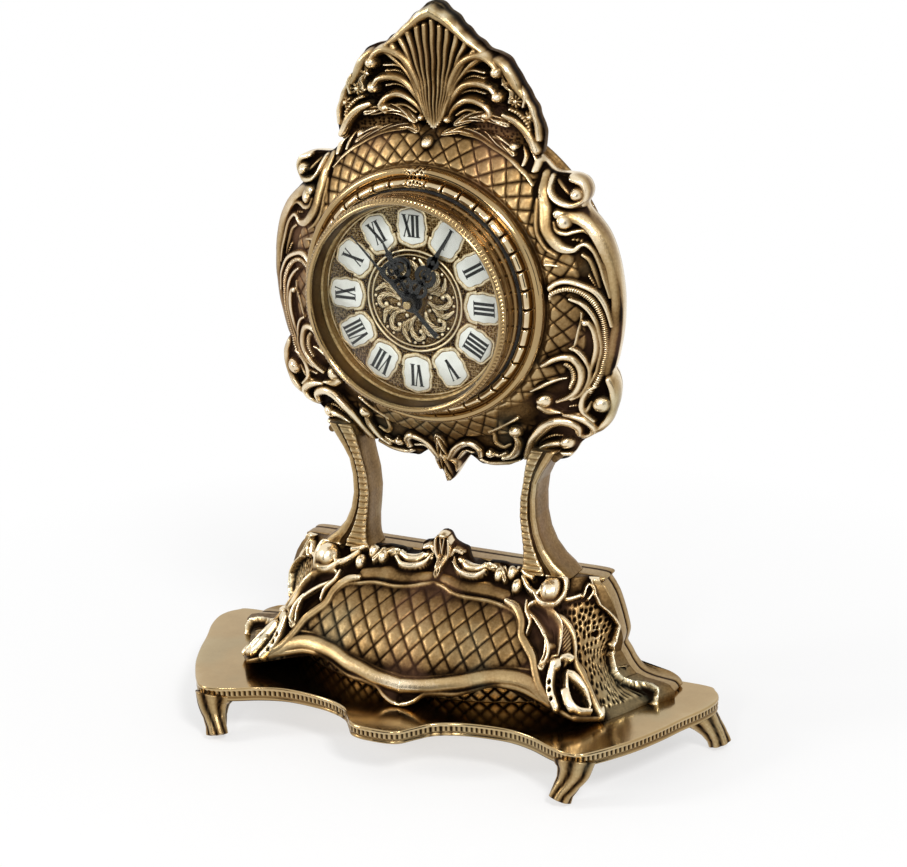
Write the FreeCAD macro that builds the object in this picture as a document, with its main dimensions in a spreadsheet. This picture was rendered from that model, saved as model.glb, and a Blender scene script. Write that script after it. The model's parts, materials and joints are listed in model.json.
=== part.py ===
import FreeCAD, Part
import math
import os
import re
import Sketcher

# Free-standing rococo mantel clock in cast brass with a battery movement.
# X runs to the right, the dial faces -Y, Z is up, and the four toes rest on Z = 0.
# All sizes are in millimetres and all angles in degrees.

Vector = FreeCAD.Vector
acrossX = Vector(1, 0, 0)
alongY = Vector(0, 1, 0)
upZ = Vector(0, 0, 1)
origin = Vector(0, 0, 0)

document = FreeCAD.newDocument("mantel_clock")
sheet = document.addObject("Spreadsheet::Sheet", "Sizes")

driving_sizes = (
    ("dial_height", 185.3, "floor to dial centre"),
    ("total_height", "=crest_base_z+crest_rise", "floor to crest tip"),
    ("casting_wall", 3, "wall of every hollow casting"),
    ("running_fit", 0.05, "radial clearance of turning pairs"),
    ("screw_radius", 1.5, "shank of every case screw"),
    ("screw_head_radius", 2.8, ""),
    ("screw_head_height", 1.5, ""),
    ("screw_length", 14, "below the head"),
    ("boss_radius", 3.5, "tapped pillars inside the castings"),
    ("base_screw_x", 48, "screws that hold the pedestal to the plate"),
    ("base_screw_front_y", 17, ""),
    ("base_screw_rear_y", 37, ""),
    ("case_screw_x", 48, "screws that join the pedestal's castings"),
    ("case_screw_z", 46, ""),
    ("head_screw_x", 50.5, "screws that hold the head to the columns"),
    ("head_screw_rise", 3.6, "above the top of the columns"),
    ("plate_top", 22, "floor to the top of the foot plate"),
    ("plate_web", 3.2, "thickness inside the rim"),
    ("plate_rim_height", 6, ""),
    ("plate_rim_width", 4, ""),
    ("plate_half_depth", 45, ""),
    ("plate_lobe_half", 12, "half width of the middle lobe"),
    ("plate_lobe_reach", 20.5, "lobe tip past the flanks"),
    ("plate_flank_x", 51, "where the front edge is furthest back"),
    ("plate_corner_x", 82, ""),
    ("plate_corner_reach", 10.5, "front corner past the flanks"),
    ("plate_front_half", 92, ""),
    ("plate_rear_half", 116, ""),
    ("plate_rear_corner_y", 35, ""),
    ("front_toe_x", 76.5, ""),
    ("front_toe_y", -36, ""),
    ("rear_toe_x", 118.6, ""),
    ("rear_toe_y", 36.5, ""),
    ("toe_radius", 4.4, ""),
    ("leg_radius", 7.4, "leg where it joins the plate"),
    ("pedestal_top", 69, "floor to the shelf under the columns"),
    ("pedestal_seam_y", 30, "joint of the front and rear castings"),
    ("pedestal_back_y", 43, ""),
    ("pedestal_foot_half", 100, "half width at the rear toes"),
    ("pedestal_top_half", 71, ""),
    ("pedestal_corner_foot_x", 77.5, ""),
    ("pedestal_corner_foot_y", -15, ""),
    ("pedestal_corner_top_x", 50, ""),
    ("pedestal_corner_top_y", 23, ""),
    ("pedestal_apron_y", -21, "front of the apron at the plate"),
    ("pedestal_cove_y", 25, "front of the shelf"),
    ("arch_x", 45, "centre of each front arch"),
    ("arch_half", 23, ""),
    ("arch_rise", 13, ""),
    ("side_arch_half", 19, ""),
    ("side_arch_rise", 4, ""),
    ("skirt_inset", 9, "skirt behind the face of the pedestal"),
    ("skirt_height", 12, ""),
    ("skirt_wall", 2, ""),
    ("moulding_radius", 2.2, "raised border of the trellised panel"),
    ("corner_leaf_radius", 3.8, "leaf down each front corner"),
    ("boss_ball_radius", 4.8, "round boss in front of each column"),
    ("finial_height", 13, "bud above the shelf"),
    ("finial_radius", 3.2, ""),
    ("column_front_y", 22, ""),
    ("column_depth", 16, ""),
    ("column_inner_x", 34, "inner face at the waist"),
    ("column_width", 7, "at the waist"),
    ("column_top", 116, "floor to the joint with the head"),
    ("column_foot_spread", 18, "outward sweep of the foot"),
    ("column_heel", 3, "inward sweep of the foot"),
    ("column_head_spread", 12, "outward sweep of the top"),
    ("column_tab", 2, "thickness of the tab behind the head"),
    ("column_tab_height", 7.4, ""),
    ("dome_inner_radius", 54.3, "inner edge of the trellis band"),
    ("dome_outer_radius", 72, ""),
    ("dome_inner_y", 18.4, ""),
    ("dome_outer_y", 32, ""),
    ("dome_wall", 2.6, ""),
    ("band_bulge", 1.8, "how far the trellis band bulges forward"),
    ("border_radius", 75.5, "scrolled border of the head"),
    ("border_front_y", 29, ""),
    ("border_back_y", 36, ""),
    ("border_corner_lobe", 12.5, "scroll above each column"),
    ("border_drop", 10.8, "leaf drop at the bottom"),
    ("scroll_radius", 3.4, "thickness of the raised scrolls"),
    ("bowl_radius", 76, ""),
    ("bowl_back_y", 43.5, ""),
    ("bowl_wall", 2.2, ""),
    ("bowl_opening", 44, "radius of the hole behind the movement"),
    ("bowl_screw_radius", 62, "pitch radius of its four screws"),
    ("crest_half", 46, ""),
    ("crest_front_y", 25.5, ""),
    ("crest_back_y", 35, ""),
    ("crest_root_rise", 63.3, "dial centre to the root of the shell"),
    ("crest_rise", 51.4, "root of the shell to its tip"),
    ("crest_base_z", "=dial_height+crest_root_rise", ""),
    ("crest_flutes", 9, ""),
    ("collar_front_y", 8, "face that the bezel rests on"),
    ("collar_back_y", 20.5, ""),
    ("collar_bore", 44.2, ""),
    ("collar_wall", 2.4, ""),
    ("collar_torus_radius", 54.4, ""),
    ("collar_torus_half", 2, ""),
    ("bead_ring_radius", 49, ""),
    ("bead_half", 1.9, ""),
    ("bezel_radius", 45.5, ""),
    ("bezel_opening", 39.6, ""),
    ("bezel_front_y", -2.4, ""),
    ("bezel_bore", 42.4, ""),
    ("lens_rise", 7, "bulge of the glass"),
    ("lens_thickness", 1.5, ""),
    ("lens_edge_y", 0, ""),
    ("seat_clearance", 0.1, "radial clearance of parts that drop in"),
    ("dial_y", 5.3, "face of the dial"),
    ("dial_thickness", 1, ""),
    ("spacer_opening", 39.2, ""),
    ("medallion_radius", 20.4, ""),
    ("medallion_thickness", 1, ""),
    ("numeral_ring_radius", 30.2, ""),
    ("cartouche_width", 10.7, ""),
    ("cartouche_height", 13.3, ""),
    ("cartouche_thickness", 0.6, ""),
    ("gasket_thickness", 0.7, "between the cup and the collar"),
    ("cup_radius", "=collar_bore-gasket_thickness", ""),
    ("cup_back_y", 23, ""),
    ("cup_wall", 1.2, ""),
    ("hour_hand_length", 26.5, ""),
    ("minute_hand_length", 34.5, ""),
    ("second_hand_length", 35.5, ""),
    ("second_tail_length", 15, ""),
    ("hour_hand_angle", 333, "clockwise from twelve"),
    ("minute_hand_angle", 31, ""),
    ("second_hand_angle", 316, ""),
    ("hand_thickness", 0.4, ""),
    ("hour_hand_y", 2.4, ""),
    ("minute_hand_y", 1.2, ""),
    ("second_hand_y", 0, ""),
    ("cap_radius", 1.7, "brass cap on the seconds arbor"),
    ("cap_height", 2.2, ""),
    ("bush_radius", 4, "threaded bush of the movement"),
    ("bush_front_y", 3.3, ""),
    ("nut_flats", 10, ""),
    ("nut_thickness", 1.6, ""),
    ("washer_radius", 10, ""),
    ("washer_thickness", 0.8, ""),
    ("case_half", 28, "half of the square movement case"),
    ("case_wall", 1.2, ""),
    ("case_corner", 4, ""),
    ("case_depth", 17.6, ""),
    ("case_front_depth", 4, "depth of the front half"),
    ("train_plate_y", 13.2, ""),
    ("train_plate_thickness", 0.7, ""),
    ("seconds_arbor_radius", 0.5, ""),
    ("minute_tube_wall", 0.45, ""),
    ("hour_tube_wall", 0.7, ""),
    ("arbor_radius", 0.4, ""),
    ("train_distance", 8.5, "centre distance of the time train"),
    ("motion_distance", 9, "centre distance of the hand train"),
    ("wheel_thickness", 0.8, ""),
    ("pinion_thickness", 1.2, ""),
    ("wheel_gap", 0.4, "least gap between wheels and plates"),
    ("hub_radius", 1, ""),
    ("third_direction", 180, "counted from +X towards +Z"),
    ("intermediate_direction", 100, ""),
    ("rotor_direction", 60, ""),
    ("minute_direction", 0, ""),
    ("setting_direction", 0, ""),
    ("magnet_radius", 3, ""),
    ("magnet_length", 2.4, ""),
    ("shaft_radius", 1.2, "shaft of the setting knob"),
    ("knob_radius", 6.5, ""),
    ("knob_thickness", 4, ""),
    ("battery_radius", 7.25, ""),
    ("battery_length", 50.5, ""),
    ("battery_drop", 19.3, "below the dial centre"),
    ("battery_gap", 0.3, "in front of the battery"),
    ("contact_width", 5, ""),
    ("contact_height", 9, ""),
    ("board_thickness", 1, ""),
    ("board_left", 11, "from the dial's axis"),
    ("board_low", 9, ""),
    ("board_gap", 1.2, "behind the train plate"),
    ("stator_thickness", 0.8, ""),
    ("stator_bridge", 1.3, "narrowest part of the stator"),
    ("coil_length", 15, ""),
    ("coil_radius", 3, ""),
    ("core_half", 0.6, ""),
    ("bobbin_wall", 0.9, ""),
    ("crystal_radius", 1, ""),
    ("crystal_length", 6, ""),
    ("chip_width", 4, ""),
)

aliases = [alias for alias, number, note in driving_sizes]
for row, alias in enumerate(aliases, 1):
    sheet.setAlias("B%d" % row, alias)
for row, (alias, number, note) in enumerate(driving_sizes, 1):
    sheet.set("A%d" % row, alias)
    sheet.set("B%d" % row, str(number))
    sheet.set("C%d" % row, note)
document.recompute()


def value(text):
    """Number that an expression in the sheet's aliases gives."""
    return float(sheet.evalExpression(text))


def bound(text):
    """The same expression as another object of the document reads it."""
    return re.sub(r"[a-z_]\w*", lambda word: "Sizes." + word[0] if word[0] in aliases else word[0], text)


# ---------------------------------------------------------------- bodies made from sketches


def new_body(label, x="0", y="0", z="0"):
    body = document.addObject("PartDesign::Body", label)
    body.Label = label
    for axis, text in zip("xyz", (x, y, z)):
        body.setExpression("Placement.Base." + axis, bound(text))
    return body


def new_sketch(body, role, offset="0"):
    sketch = body.newObject("Sketcher::SketchObject", body.Label + "_sketch")
    plane = next(feature for feature in body.Origin.OriginFeatures if feature.Role == role)
    sketch.AttachmentSupport = [(plane, "")]
    sketch.MapMode = "FlatFace"
    sketch.setExpression("AttachmentOffset.Base.z", bound(offset))
    return sketch


def constrain(sketch, kind, numbers, text):
    index = sketch.addConstraint(Sketcher.Constraint(kind, *numbers, value(text)))
    sketch.setExpression("Constraints[%d]" % index, bound(text))


def draw_outline(sketch, points):
    """Closed outline. A third entry is the radius of the arc that arrives at the point, and a
    positive one turns left."""
    places = [Vector(value(point[0]), value(point[1]), 0) for point in points]
    first = sketch.GeometryCount
    ends = []
    for index, start in enumerate(places):
        after = (index + 1) % len(places)
        finish = places[after]
        if len(points[after]) == 2:
            sketch.addGeometry(Part.LineSegment(start, finish), False)
            ends.append((1, 2))
            continue
        radius = value(points[after][2])
        half = (finish - start) * 0.5
        left = Vector(-half.y, half.x, 0).normalize()
        reach = math.sqrt(radius**2 - half.Length**2)
        centre = start + half + left * math.copysign(reach, radius)
        begin, end = (start, finish) if radius > 0 else (finish, start)
        angles = [math.atan2(place.y - centre.y, place.x - centre.x) for place in (begin, end)]
        circle = Part.Circle(centre, upZ, abs(radius))
        sketch.addGeometry(Part.ArcOfCircle(circle, *angles), False)
        ends.append((1, 2) if radius > 0 else (2, 1))
    for index, point in enumerate(points):
        after = (index + 1) % len(points)
        this, following = first + index, first + after
        joined = (this, ends[index][1], following, ends[after][0])
        sketch.addConstraint(Sketcher.Constraint("Coincident", *joined))
        constrain(sketch, "DistanceX", (-1, 1, this, ends[index][0]), point[0])
        constrain(sketch, "DistanceY", (-1, 1, this, ends[index][0]), point[1])
        if len(points[after]) == 3:
            constrain(sketch, "Radius", (this,), "abs(%s)" % points[after][2])


def draw_circle(sketch, radius, x="0", y="0"):
    centre = Vector(value(x), value(y), 0)
    index = sketch.addGeometry(Part.Circle(centre, upZ, value(radius)), False)
    constrain(sketch, "DistanceX", (-1, 1, index, 3), x)
    constrain(sketch, "DistanceY", (-1, 1, index, 3), y)
    constrain(sketch, "Radius", (index,), radius)


def turned(label, points, x="0", z="dial_height"):
    """Piece turned about an axis along Y. Its outline is in radius and Y."""
    body = new_body(label, x, "0", z)
    sketch = new_sketch(body, "XY_Plane")
    draw_outline(sketch, points)
    revolution = body.newObject("PartDesign::Revolution", label + "_turn")
    revolution.Profile = sketch
    revolution.ReferenceAxis = (sketch, ["V_Axis"])
    revolution.Angle = 360
    return body


def add_pad(body, front, back, outlines=(), circles=()):
    """Flat piece from Y = front to Y = back, drawn in X and Z. Inner loops are holes."""
    sketch = new_sketch(body, "XZ_Plane", "-(%s)" % back)
    for points in outlines:
        draw_outline(sketch, points)
    for circle in circles:
        draw_circle(sketch, *circle)
    pad = body.newObject("PartDesign::Pad", body.Label + "_pad")
    pad.Profile = sketch
    pad.setExpression("Length", bound("(%s)-(%s)" % (back, front)))
    return pad


def cut_pocket(body, front, back, outlines=(), circles=()):
    sketch = new_sketch(body, "XZ_Plane", "-(%s)" % back)
    for points in outlines:
        draw_outline(sketch, points)
    for circle in circles:
        draw_circle(sketch, *circle)
    pocket = body.newObject("PartDesign::Pocket", body.Label + "_pocket")
    pocket.Profile = sketch
    pocket.Reversed = True
    pocket.setExpression("Length", bound("(%s)-(%s)" % (back, front)))
    return pocket


def rectangle(left, right, low, high):
    return ((left, low), (right, low), (right, high), (left, high))


def rounded_square(half, corner):
    """Square about the origin, drawn anticlockwise, with rounded corners."""
    half, flat = "(%s)" % half, "((%s)-(%s))" % (half, corner)
    return (
        (flat, "-" + half),
        (half, "-" + flat, corner),
        (half, flat),
        (flat, half, corner),
        ("-" + flat, half),
        ("-" + half, flat, corner),
        ("-" + half, "-" + flat),
        ("-" + flat, "-" + half, corner),
    )


# ---------------------------------------------------------------- free shapes


def add_feature(label, shape, x=0, y=0, z=0, angle=0):
    """Object with its own placement. The angle turns it clockwise, as seen from the dial."""
    feature = document.addObject("Part::Feature", label)
    feature.Label = label
    feature.Shape = shape
    feature.Placement = FreeCAD.Placement(Vector(x, y, z), FreeCAD.Rotation(alongY, angle))
    return feature


def mirrored(shape):
    return shape.mirror(origin, acrossX)


def both_sides(shape):
    return [shape, mirrored(shape)]


def spline(points):
    curve = Part.BSplineCurve()
    curve.interpolate(points)
    return curve.toShape()


def rod(place, direction, radius, length):
    return Part.makeCylinder(radius, length, place, direction)


def horn(points, radii):
    """Tapering rod through the points, with a ball on its last point."""
    rings = []
    for index, place in enumerate(points):
        before = points[max(index - 1, 0)]
        after = points[min(index + 1, len(points) - 1)]
        rings.append(Part.Wire(Part.makeCircle(radii[index], place, after - before)))
    body = Part.makeLoft(rings, True)
    return body.fuse(Part.makeSphere(radii[-1] * 1.02, points[-1]))


def block(left, right, front, back, low, high):
    return Part.makeBox(right - left, back - front, high - low, Vector(left, front, low))


def one_solid(shape):
    """The single solid of a shape, with the seams between its coplanar faces removed."""
    return shape.removeSplitter().Solids[0]


def screw(place, direction):
    """Pan-head screw whose head sits at the place and whose shank runs along the direction."""
    head = value("screw_head_height")
    shank = rod(place, direction, value("screw_radius"), value("screw_length"))
    cap = rod(place - direction * head, direction, value("screw_head_radius"), head)
    reach, half = value("screw_head_radius"), head / 5
    slot = block(-reach, reach, -half, half, -half, half)
    turn = FreeCAD.Rotation(upZ, direction)
    slot.Placement = FreeCAD.Placement(place - direction * head, turn).multiply(slot.Placement)
    return cap.fuse(shank).cut(slot)


def screw_set(label, places, direction):
    """One node for a set of equal screws, which stay separate solids."""
    return add_feature(label, Part.makeCompound([screw(place, direction) for place in places]))


def screw_bores(places, direction):
    length = value("screw_length")
    return [rod(place, direction, value("screw_radius"), length) for place in places]


far = value("total_height") * 2

# ---------------------------------------------------------------- foot plate and feet


def plate_outline(inset, height):
    """Serpentine plan of the foot plate, drawn inwards by an inset."""
    front = -value("plate_half_depth") + inset
    flank = front + value("plate_lobe_reach")
    lobe = value("plate_lobe_half") - inset * 0.4
    corner_x = value("plate_corner_x") - inset * 0.3
    corner_y = flank - value("plate_corner_reach")
    front_half = value("plate_front_half") - inset
    rear_half = value("plate_rear_half") - inset
    rear_y = value("plate_half_depth") - inset
    rear_corner_y = value("plate_rear_corner_y")
    waist = (front_half + rear_half) / 2
    flank_x = value("plate_flank_x")
    reach = value("plate_lobe_reach")
    right_front = [
        Vector(lobe * 0.65, front + reach * 0.04, height),
        Vector(lobe * 1.25, front + reach * 0.34, height),
        Vector(lobe * 1.95, flank - reach * 0.27, height),
        Vector(flank_x * 0.72, flank - reach * 0.06, height),
        Vector(flank_x, flank, height),
        Vector((flank_x + corner_x) / 2, (flank * 2 + corner_y) / 3, height),
        Vector(corner_x, corner_y, height),
    ]
    left_front = [Vector(-place.x, place.y, place.z) for place in reversed(right_front)]
    corner_end = Vector(front_half, flank + 4, height)
    corner = [right_front[-1], Vector(front_half - 2, corner_y + 4, height), corner_end]
    rear_corner = Vector(rear_half, rear_corner_y, height)
    side = [corner_end, Vector(waist, (flank + rear_corner_y) / 2 - 3, height), rear_corner]
    rear_end = Vector(rear_half - 16, rear_y, height)
    rear = [rear_corner, Vector(rear_half - 4, rear_y - 4, height), rear_end]
    front_edge = spline(left_front + [Vector(0, front, height)] + right_front)
    right_edges = [spline(corner), spline(side), spline(rear)]
    left_edges = [edge.mirror(origin, acrossX) for edge in right_edges]
    rear_edge = Part.makeLine(rear_end, Vector(-rear_end.x, rear_end.y, height))
    return Part.Wire(Part.__sortEdges__([front_edge] + right_edges + left_edges + [rear_edge]))


def upward(wire, height):
    return Part.Face(wire).extrude(upZ * height)


plate_top = value("plate_top")
web_under = plate_top - value("plate_web")
rim_under = plate_top - value("plate_rim_height")
base_screw_places = [
    Vector(side * value("base_screw_x"), value(y), web_under)
    for side in (-1, 1)
    for y in ("base_screw_front_y", "base_screw_rear_y")
]

plate_solid = upward(plate_outline(0, rim_under), value("plate_rim_height"))
plate_hollow = upward(plate_outline(value("plate_rim_width"), rim_under), web_under - rim_under)
plate_shape = plate_solid.cut([plate_hollow] + screw_bores(base_screw_places, upZ))
add_feature("foot_plate", one_solid(plate_shape))


def foot(label, top_x, top_y, toe_x, toe_y, side):
    """Leg that leaves the underside of the plate, sweeps outwards and ends in a flattened toe."""
    toe_radius = value("toe_radius")
    leg_radius = value("leg_radius")
    top = Vector(top_x, top_y, web_under)
    toe = Vector(toe_x, toe_y, toe_radius * 0.92)
    across = toe - top
    knee = top + Vector(across.x * 0.18, across.y * 0.18, across.z * 0.4)
    ankle = top + Vector(across.x * 0.55, across.y * 0.55, across.z * 0.78)
    radii = [leg_radius, leg_radius * 0.86, leg_radius * 0.62, toe_radius * 0.95]
    leg = horn([top, knee, ankle, toe], radii)
    under = block(-far, far, -far, far, 0, web_under)
    shape = leg.common(under).cut(plate_shape)
    shape = max(shape.Solids, key=lambda solid: solid.Volume)
    add_feature(label, shape if side > 0 else mirrored(shape))


for name, side in (("right", 1), ("left", -1)):
    front_toe = (value("front_toe_x"), value("front_toe_y"))
    foot("foot_front_" + name, front_toe[0] + 3.5, front_toe[1] + 9, *front_toe, side)
    rear_toe = (value("rear_toe_x"), value("rear_toe_y"))
    foot("foot_rear_" + name, rear_toe[0] - 14, rear_toe[1] - 0.5, *rear_toe, side)

# ---------------------------------------------------------------- pedestal

pedestal_top = value("pedestal_top")
seam_y = value("pedestal_seam_y")
wall = value("casting_wall")
pedestal_levels = (0, 0.17, 0.36, 0.58, 0.8, 1)


def bell(low, high, share, power):
    """Value between the foot and the shelf; a high power stays near the shelf's value."""
    return high + (low - high) * (1 - share) ** power


def pedestal_half(share, inset=0):
    half = bell(value("pedestal_foot_half"), value("pedestal_top_half"), share, 2.2)
    return half - inset


def pedestal_plan(share, height, inset=0):
    """Plan of the front casting at a level: bowed front, hollow flanks, flat joint."""
    half = pedestal_half(share, inset)
    foot_x, top_x = value("pedestal_corner_foot_x"), value("pedestal_corner_top_x")
    corner_x = bell(foot_x, top_x, share, 1.6) - inset
    foot_y, top_y = value("pedestal_corner_foot_y"), value("pedestal_corner_top_y")
    corner_y = foot_y + (top_y - foot_y) * share**1.3 + inset
    apron, cove = value("pedestal_apron_y"), value("pedestal_cove_y")
    front_y = apron + (cove - apron) * share**1.5 + inset
    bow = corner_y - front_y
    side = [
        Vector(half, seam_y, height),
        Vector((half + corner_x) / 2 - 1.2, (seam_y + corner_y) / 2, height),
        Vector(corner_x, corner_y, height),
    ]
    right = [Vector(corner_x * part, front_y + bow * part**2, height) for part in (1, 0.66, 0.33)]
    left = [Vector(-place.x, place.y, place.z) for place in reversed(right)]
    front = spline(right + [Vector(0, front_y, height)] + left)
    right_side = spline(side)
    back = Part.makeLine(Vector(-half, seam_y, height), Vector(half, seam_y, height))
    return Part.Wire([right_side, front, right_side.mirror(origin, acrossX), back])


def pedestal_loft(bottom, top, inset=0):
    """Bell between two heights. Under the shelf the plan is drawn inwards by an inset."""
    span = pedestal_top - plate_top
    plans = []
    for share in pedestal_levels:
        height = bottom + (top - bottom) * share
        level = max((height - plate_top) / span, 0)
        plans.append(pedestal_plan(level, height, inset))
    return Part.makeLoft(plans, True)


def arch_cutter(centre, half, rise, direction, length):
    """Rod of half-elliptic section, flat side down, that cuts an arch."""
    sideways = direction.cross(upZ)
    ends = [centre - sideways * half, centre + sideways * half]
    crown = Part.makePolygon([ends[1], ends[1] - upZ * rise, ends[0] - upZ * rise, ends[0]])
    points = [
        centre - sideways * half * math.cos(angle) + upZ * rise * math.sin(angle)
        for angle in (math.pi * step / 8 for step in range(9))
    ]
    section = Part.Wire([spline(points)] + crown.Edges)
    return Part.Face(section).extrude(direction * length)


pedestal_back = value("pedestal_back_y")
case_screw_places = [
    Vector(side * value("case_screw_x"), pedestal_back, value("case_screw_z")) for side in (-1, 1)
]
column_middle_x = value("column_inner_x") + value("column_width")
boss_radius = value("boss_radius")
column_screw_places = [
    Vector(side * column_middle_x, seam_y - boss_radius, pedestal_top - wall) for side in (-1, 1)
]


def pedestal_cuts():
    centre = value("arch_x")
    rise = value("arch_rise")
    low = Vector(centre, -value("plate_half_depth"), plate_top)
    front = arch_cutter(low, value("arch_half"), rise, alongY, value("plate_half_depth"))
    flank_y = (value("pedestal_corner_foot_y") + pedestal_back) / 2
    side_low = Vector(value("pedestal_top_half") - 10, flank_y, plate_top)
    side_size = (value("side_arch_half"), value("side_arch_rise"))
    side = arch_cutter(side_low, *side_size, acrossX, value("pedestal_foot_half"))
    return both_sides(front) + both_sides(side)


def pedestal_crest():
    """Two C-scrolls a side and a bud on a stem along the front of the shelf."""
    scroll = value("finial_radius") * 0.8
    y = seam_y - scroll * 1.1
    bud_z = pedestal_top + value("finial_height")
    stem = horn(
        [Vector(0, y, pedestal_top - wall / 2), Vector(0, y, bud_z - 6), Vector(0, y, bud_z - 3)],
        [scroll * 1.5, scroll * 0.8, scroll],
    )
    inner = horn(
        [Vector(x, y, pedestal_top + lift) for x, lift in ((3, 2), (6.5, -0.5), (10.5, -0.5), (12.5, 2.5))],
        [scroll * 0.9, scroll, scroll * 0.9, scroll * 0.8],
    )
    outer = horn(
        [Vector(x, y, pedestal_top + lift) for x, lift in ((13, -1), (19, 0.6), (25, -0.6), (30, -1))],
        [scroll * 0.7, scroll * 0.9, scroll * 0.8, scroll * 0.7],
    )
    return [stem] + both_sides(inner) + both_sides(outer)


def corner_scroll():
    """Volute in front of a column, on the shoulder of the pedestal."""
    x, y = value("pedestal_corner_top_x"), value("pedestal_corner_top_y")
    radius = value("scroll_radius")
    points = [
        Vector(x - 2, y - 1, pedestal_top - 2),
        Vector(x + 1, y - 5, pedestal_top - 2.5),
        Vector(x + 3, y - 8, pedestal_top - 6),
    ]
    return horn(points, [radius, radius * 1.1, radius])


def front_place(part, lift, proud=0):
    """Point of the pedestal's front, at a share of the way to the corner and of the height."""
    foot_x, top_x = value("pedestal_corner_foot_x"), value("pedestal_corner_top_x")
    corner_x = bell(foot_x, top_x, lift, 1.6)
    foot_y, top_y = value("pedestal_corner_foot_y"), value("pedestal_corner_top_y")
    corner_y = foot_y + (top_y - foot_y) * lift**1.3
    apron, cove = value("pedestal_apron_y"), value("pedestal_cove_y")
    front_y = apron + (cove - apron) * lift**1.5
    y = front_y + (corner_y - front_y) * part**2 - proud
    return Vector(corner_x * part, y, plate_top + (pedestal_top - plate_top) * lift)


def panel_mouldings():
    """Wavy border under the trellised panel, arched border over it and the leaf at the corner."""
    radius = value("moulding_radius")
    under = horn(
        [front_place(part, lift) for part, lift in
         ((0, 0.16), (0.2, 0.22), (0.42, 0.31), (0.62, 0.36), (0.78, 0.32), (0.9, 0.22))],
        [radius * part for part in (1.2, 1, 1, 1, 1, 1)],
    )
    over = horn(
        [front_place(part, lift) for part, lift in
         ((0, 0.84), (0.28, 0.79), (0.54, 0.79), (0.74, 0.73), (0.84, 0.6), (0.88, 0.46))],
        [radius * part for part in (0.9, 0.8, 0.8, 0.8, 0.8, 0.7)],
    )
    leaf_radius = value("corner_leaf_radius")
    corner = horn(
        [front_place(1, lift) for lift in (0.78, 0.6, 0.42, 0.25, 0.12)],
        [leaf_radius * part for part in (0.7, 1, 1, 0.9, 0.7)],
    )
    ball = Part.makeSphere(value("boss_ball_radius"), front_place(1.02, 0.83, 1))
    return [piece for shape in (under, over, corner, ball) for piece in both_sides(shape)]


outer_bell = pedestal_loft(plate_top, pedestal_top)
inner_bell = pedestal_loft(plate_top - wall, pedestal_top - wall, wall)
front_shell = outer_bell.cut(inner_bell)
pillar_places = [place for place in base_screw_places if place.y < seam_y]
front_pillars = [
    rod(Vector(place.x, place.y, plate_top), upZ, boss_radius, pedestal_top - plate_top - wall)
    for place in pillar_places
]
front_bosses = [
    rod(Vector(place.x, seam_y, place.z), -alongY, boss_radius, seam_y)
    for place in case_screw_places
]
inside = [post.common(outer_bell) for post in front_pillars + front_bosses]
front_shell = front_shell.fuse(inside)
for ornament in pedestal_crest() + both_sides(corner_scroll()) + panel_mouldings():
    front_shell = front_shell.fuse(ornament)
under_foot = block(-far, far, -far, far, 0, plate_top)
behind_seam = block(-far, far, seam_y, far, 0, far)
column_front = value("column_front_y")
column_back = column_front + value("column_depth")
column_toe = value("column_inner_x") + value("column_width") + value("column_foot_spread")
column_heel = value("column_inner_x") - value("column_heel")
column_seats = both_sides(
    block(column_heel, column_toe, column_front, column_back, pedestal_top, value("column_top"))
)
case_bores = [
    rod(Vector(place.x, seam_y, place.z), -alongY, value("screw_radius"), boss_radius * 5)
    for place in case_screw_places
]
front_bores = screw_bores(base_screw_places, upZ) + screw_bores(column_screw_places, upZ)
front_cuts = pedestal_cuts() + front_bores + case_bores + column_seats + [behind_seam, under_foot]
add_feature("pedestal_front", one_solid(front_shell.cut(front_cuts)))


def back_outline(inset, y):
    """Bell seen from behind, between the plate and the shelf."""
    right = []
    low, high = plate_top, pedestal_top
    for share in (0, 0.17, 0.36, 0.58, 0.8):
        right.append(Vector(pedestal_half(share, inset), y, low + (high - low) * share))
    shoulder = Vector(pedestal_half(1, inset) - 5, y, high - inset)
    right[0].z = low - inset
    edge = spline(right)
    cap = spline([right[-1], Vector(pedestal_half(1, inset) - 1, y, high - 3.2 - inset), shoulder])
    top = Part.makeLine(shoulder, Vector(-shoulder.x, y, shoulder.z))
    floor = Part.makeLine(Vector(-right[0].x, y, right[0].z), right[0])
    mirrored_edges = [shape.mirror(origin, acrossX) for shape in (cap, edge)]
    return Part.Wire(Part.__sortEdges__([edge, cap, top] + mirrored_edges + [floor]))


def back_slab(inset, y, depth):
    return Part.Face(back_outline(inset, y)).extrude(alongY * depth)


back_shell = back_slab(0, seam_y, pedestal_back - seam_y)
back_shell = back_shell.cut(back_slab(wall, seam_y, pedestal_back - seam_y - wall))
back_pillars = [
    rod(Vector(place.x, place.y, plate_top), upZ, boss_radius, pedestal_top - plate_top - wall)
    for place in base_screw_places
    if place.y > seam_y
]
back_bosses = [
    rod(Vector(place.x, seam_y, place.z), alongY, boss_radius, pedestal_back - seam_y - wall)
    for place in case_screw_places
]
back_shell = back_shell.fuse(back_pillars + back_bosses)
back_through = [
    rod(place, -alongY, value("screw_radius"), pedestal_back - seam_y)
    for place in case_screw_places
]
back_cuts = pedestal_cuts()[2:] + screw_bores(base_screw_places, upZ) + back_through
add_feature("pedestal_back", one_solid(back_shell.cut(back_cuts)))


def skirt_ring(inset, low, high):
    plan = pedestal_plan(0.17, low, inset)
    return upward(plan, high - low)


skirt_top = plate_top + value("skirt_height")
skirt_outer = skirt_ring(value("skirt_inset"), plate_top, skirt_top)
skirt_hollow = skirt_ring(value("skirt_inset") + value("skirt_wall"), plate_top, skirt_top)
open_back = block(-far, far, seam_y - value("skirt_wall"), far, 0, far)
add_feature("pedestal_skirt", one_solid(skirt_outer.cut([skirt_hollow, open_back])))

# ---------------------------------------------------------------- columns

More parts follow.
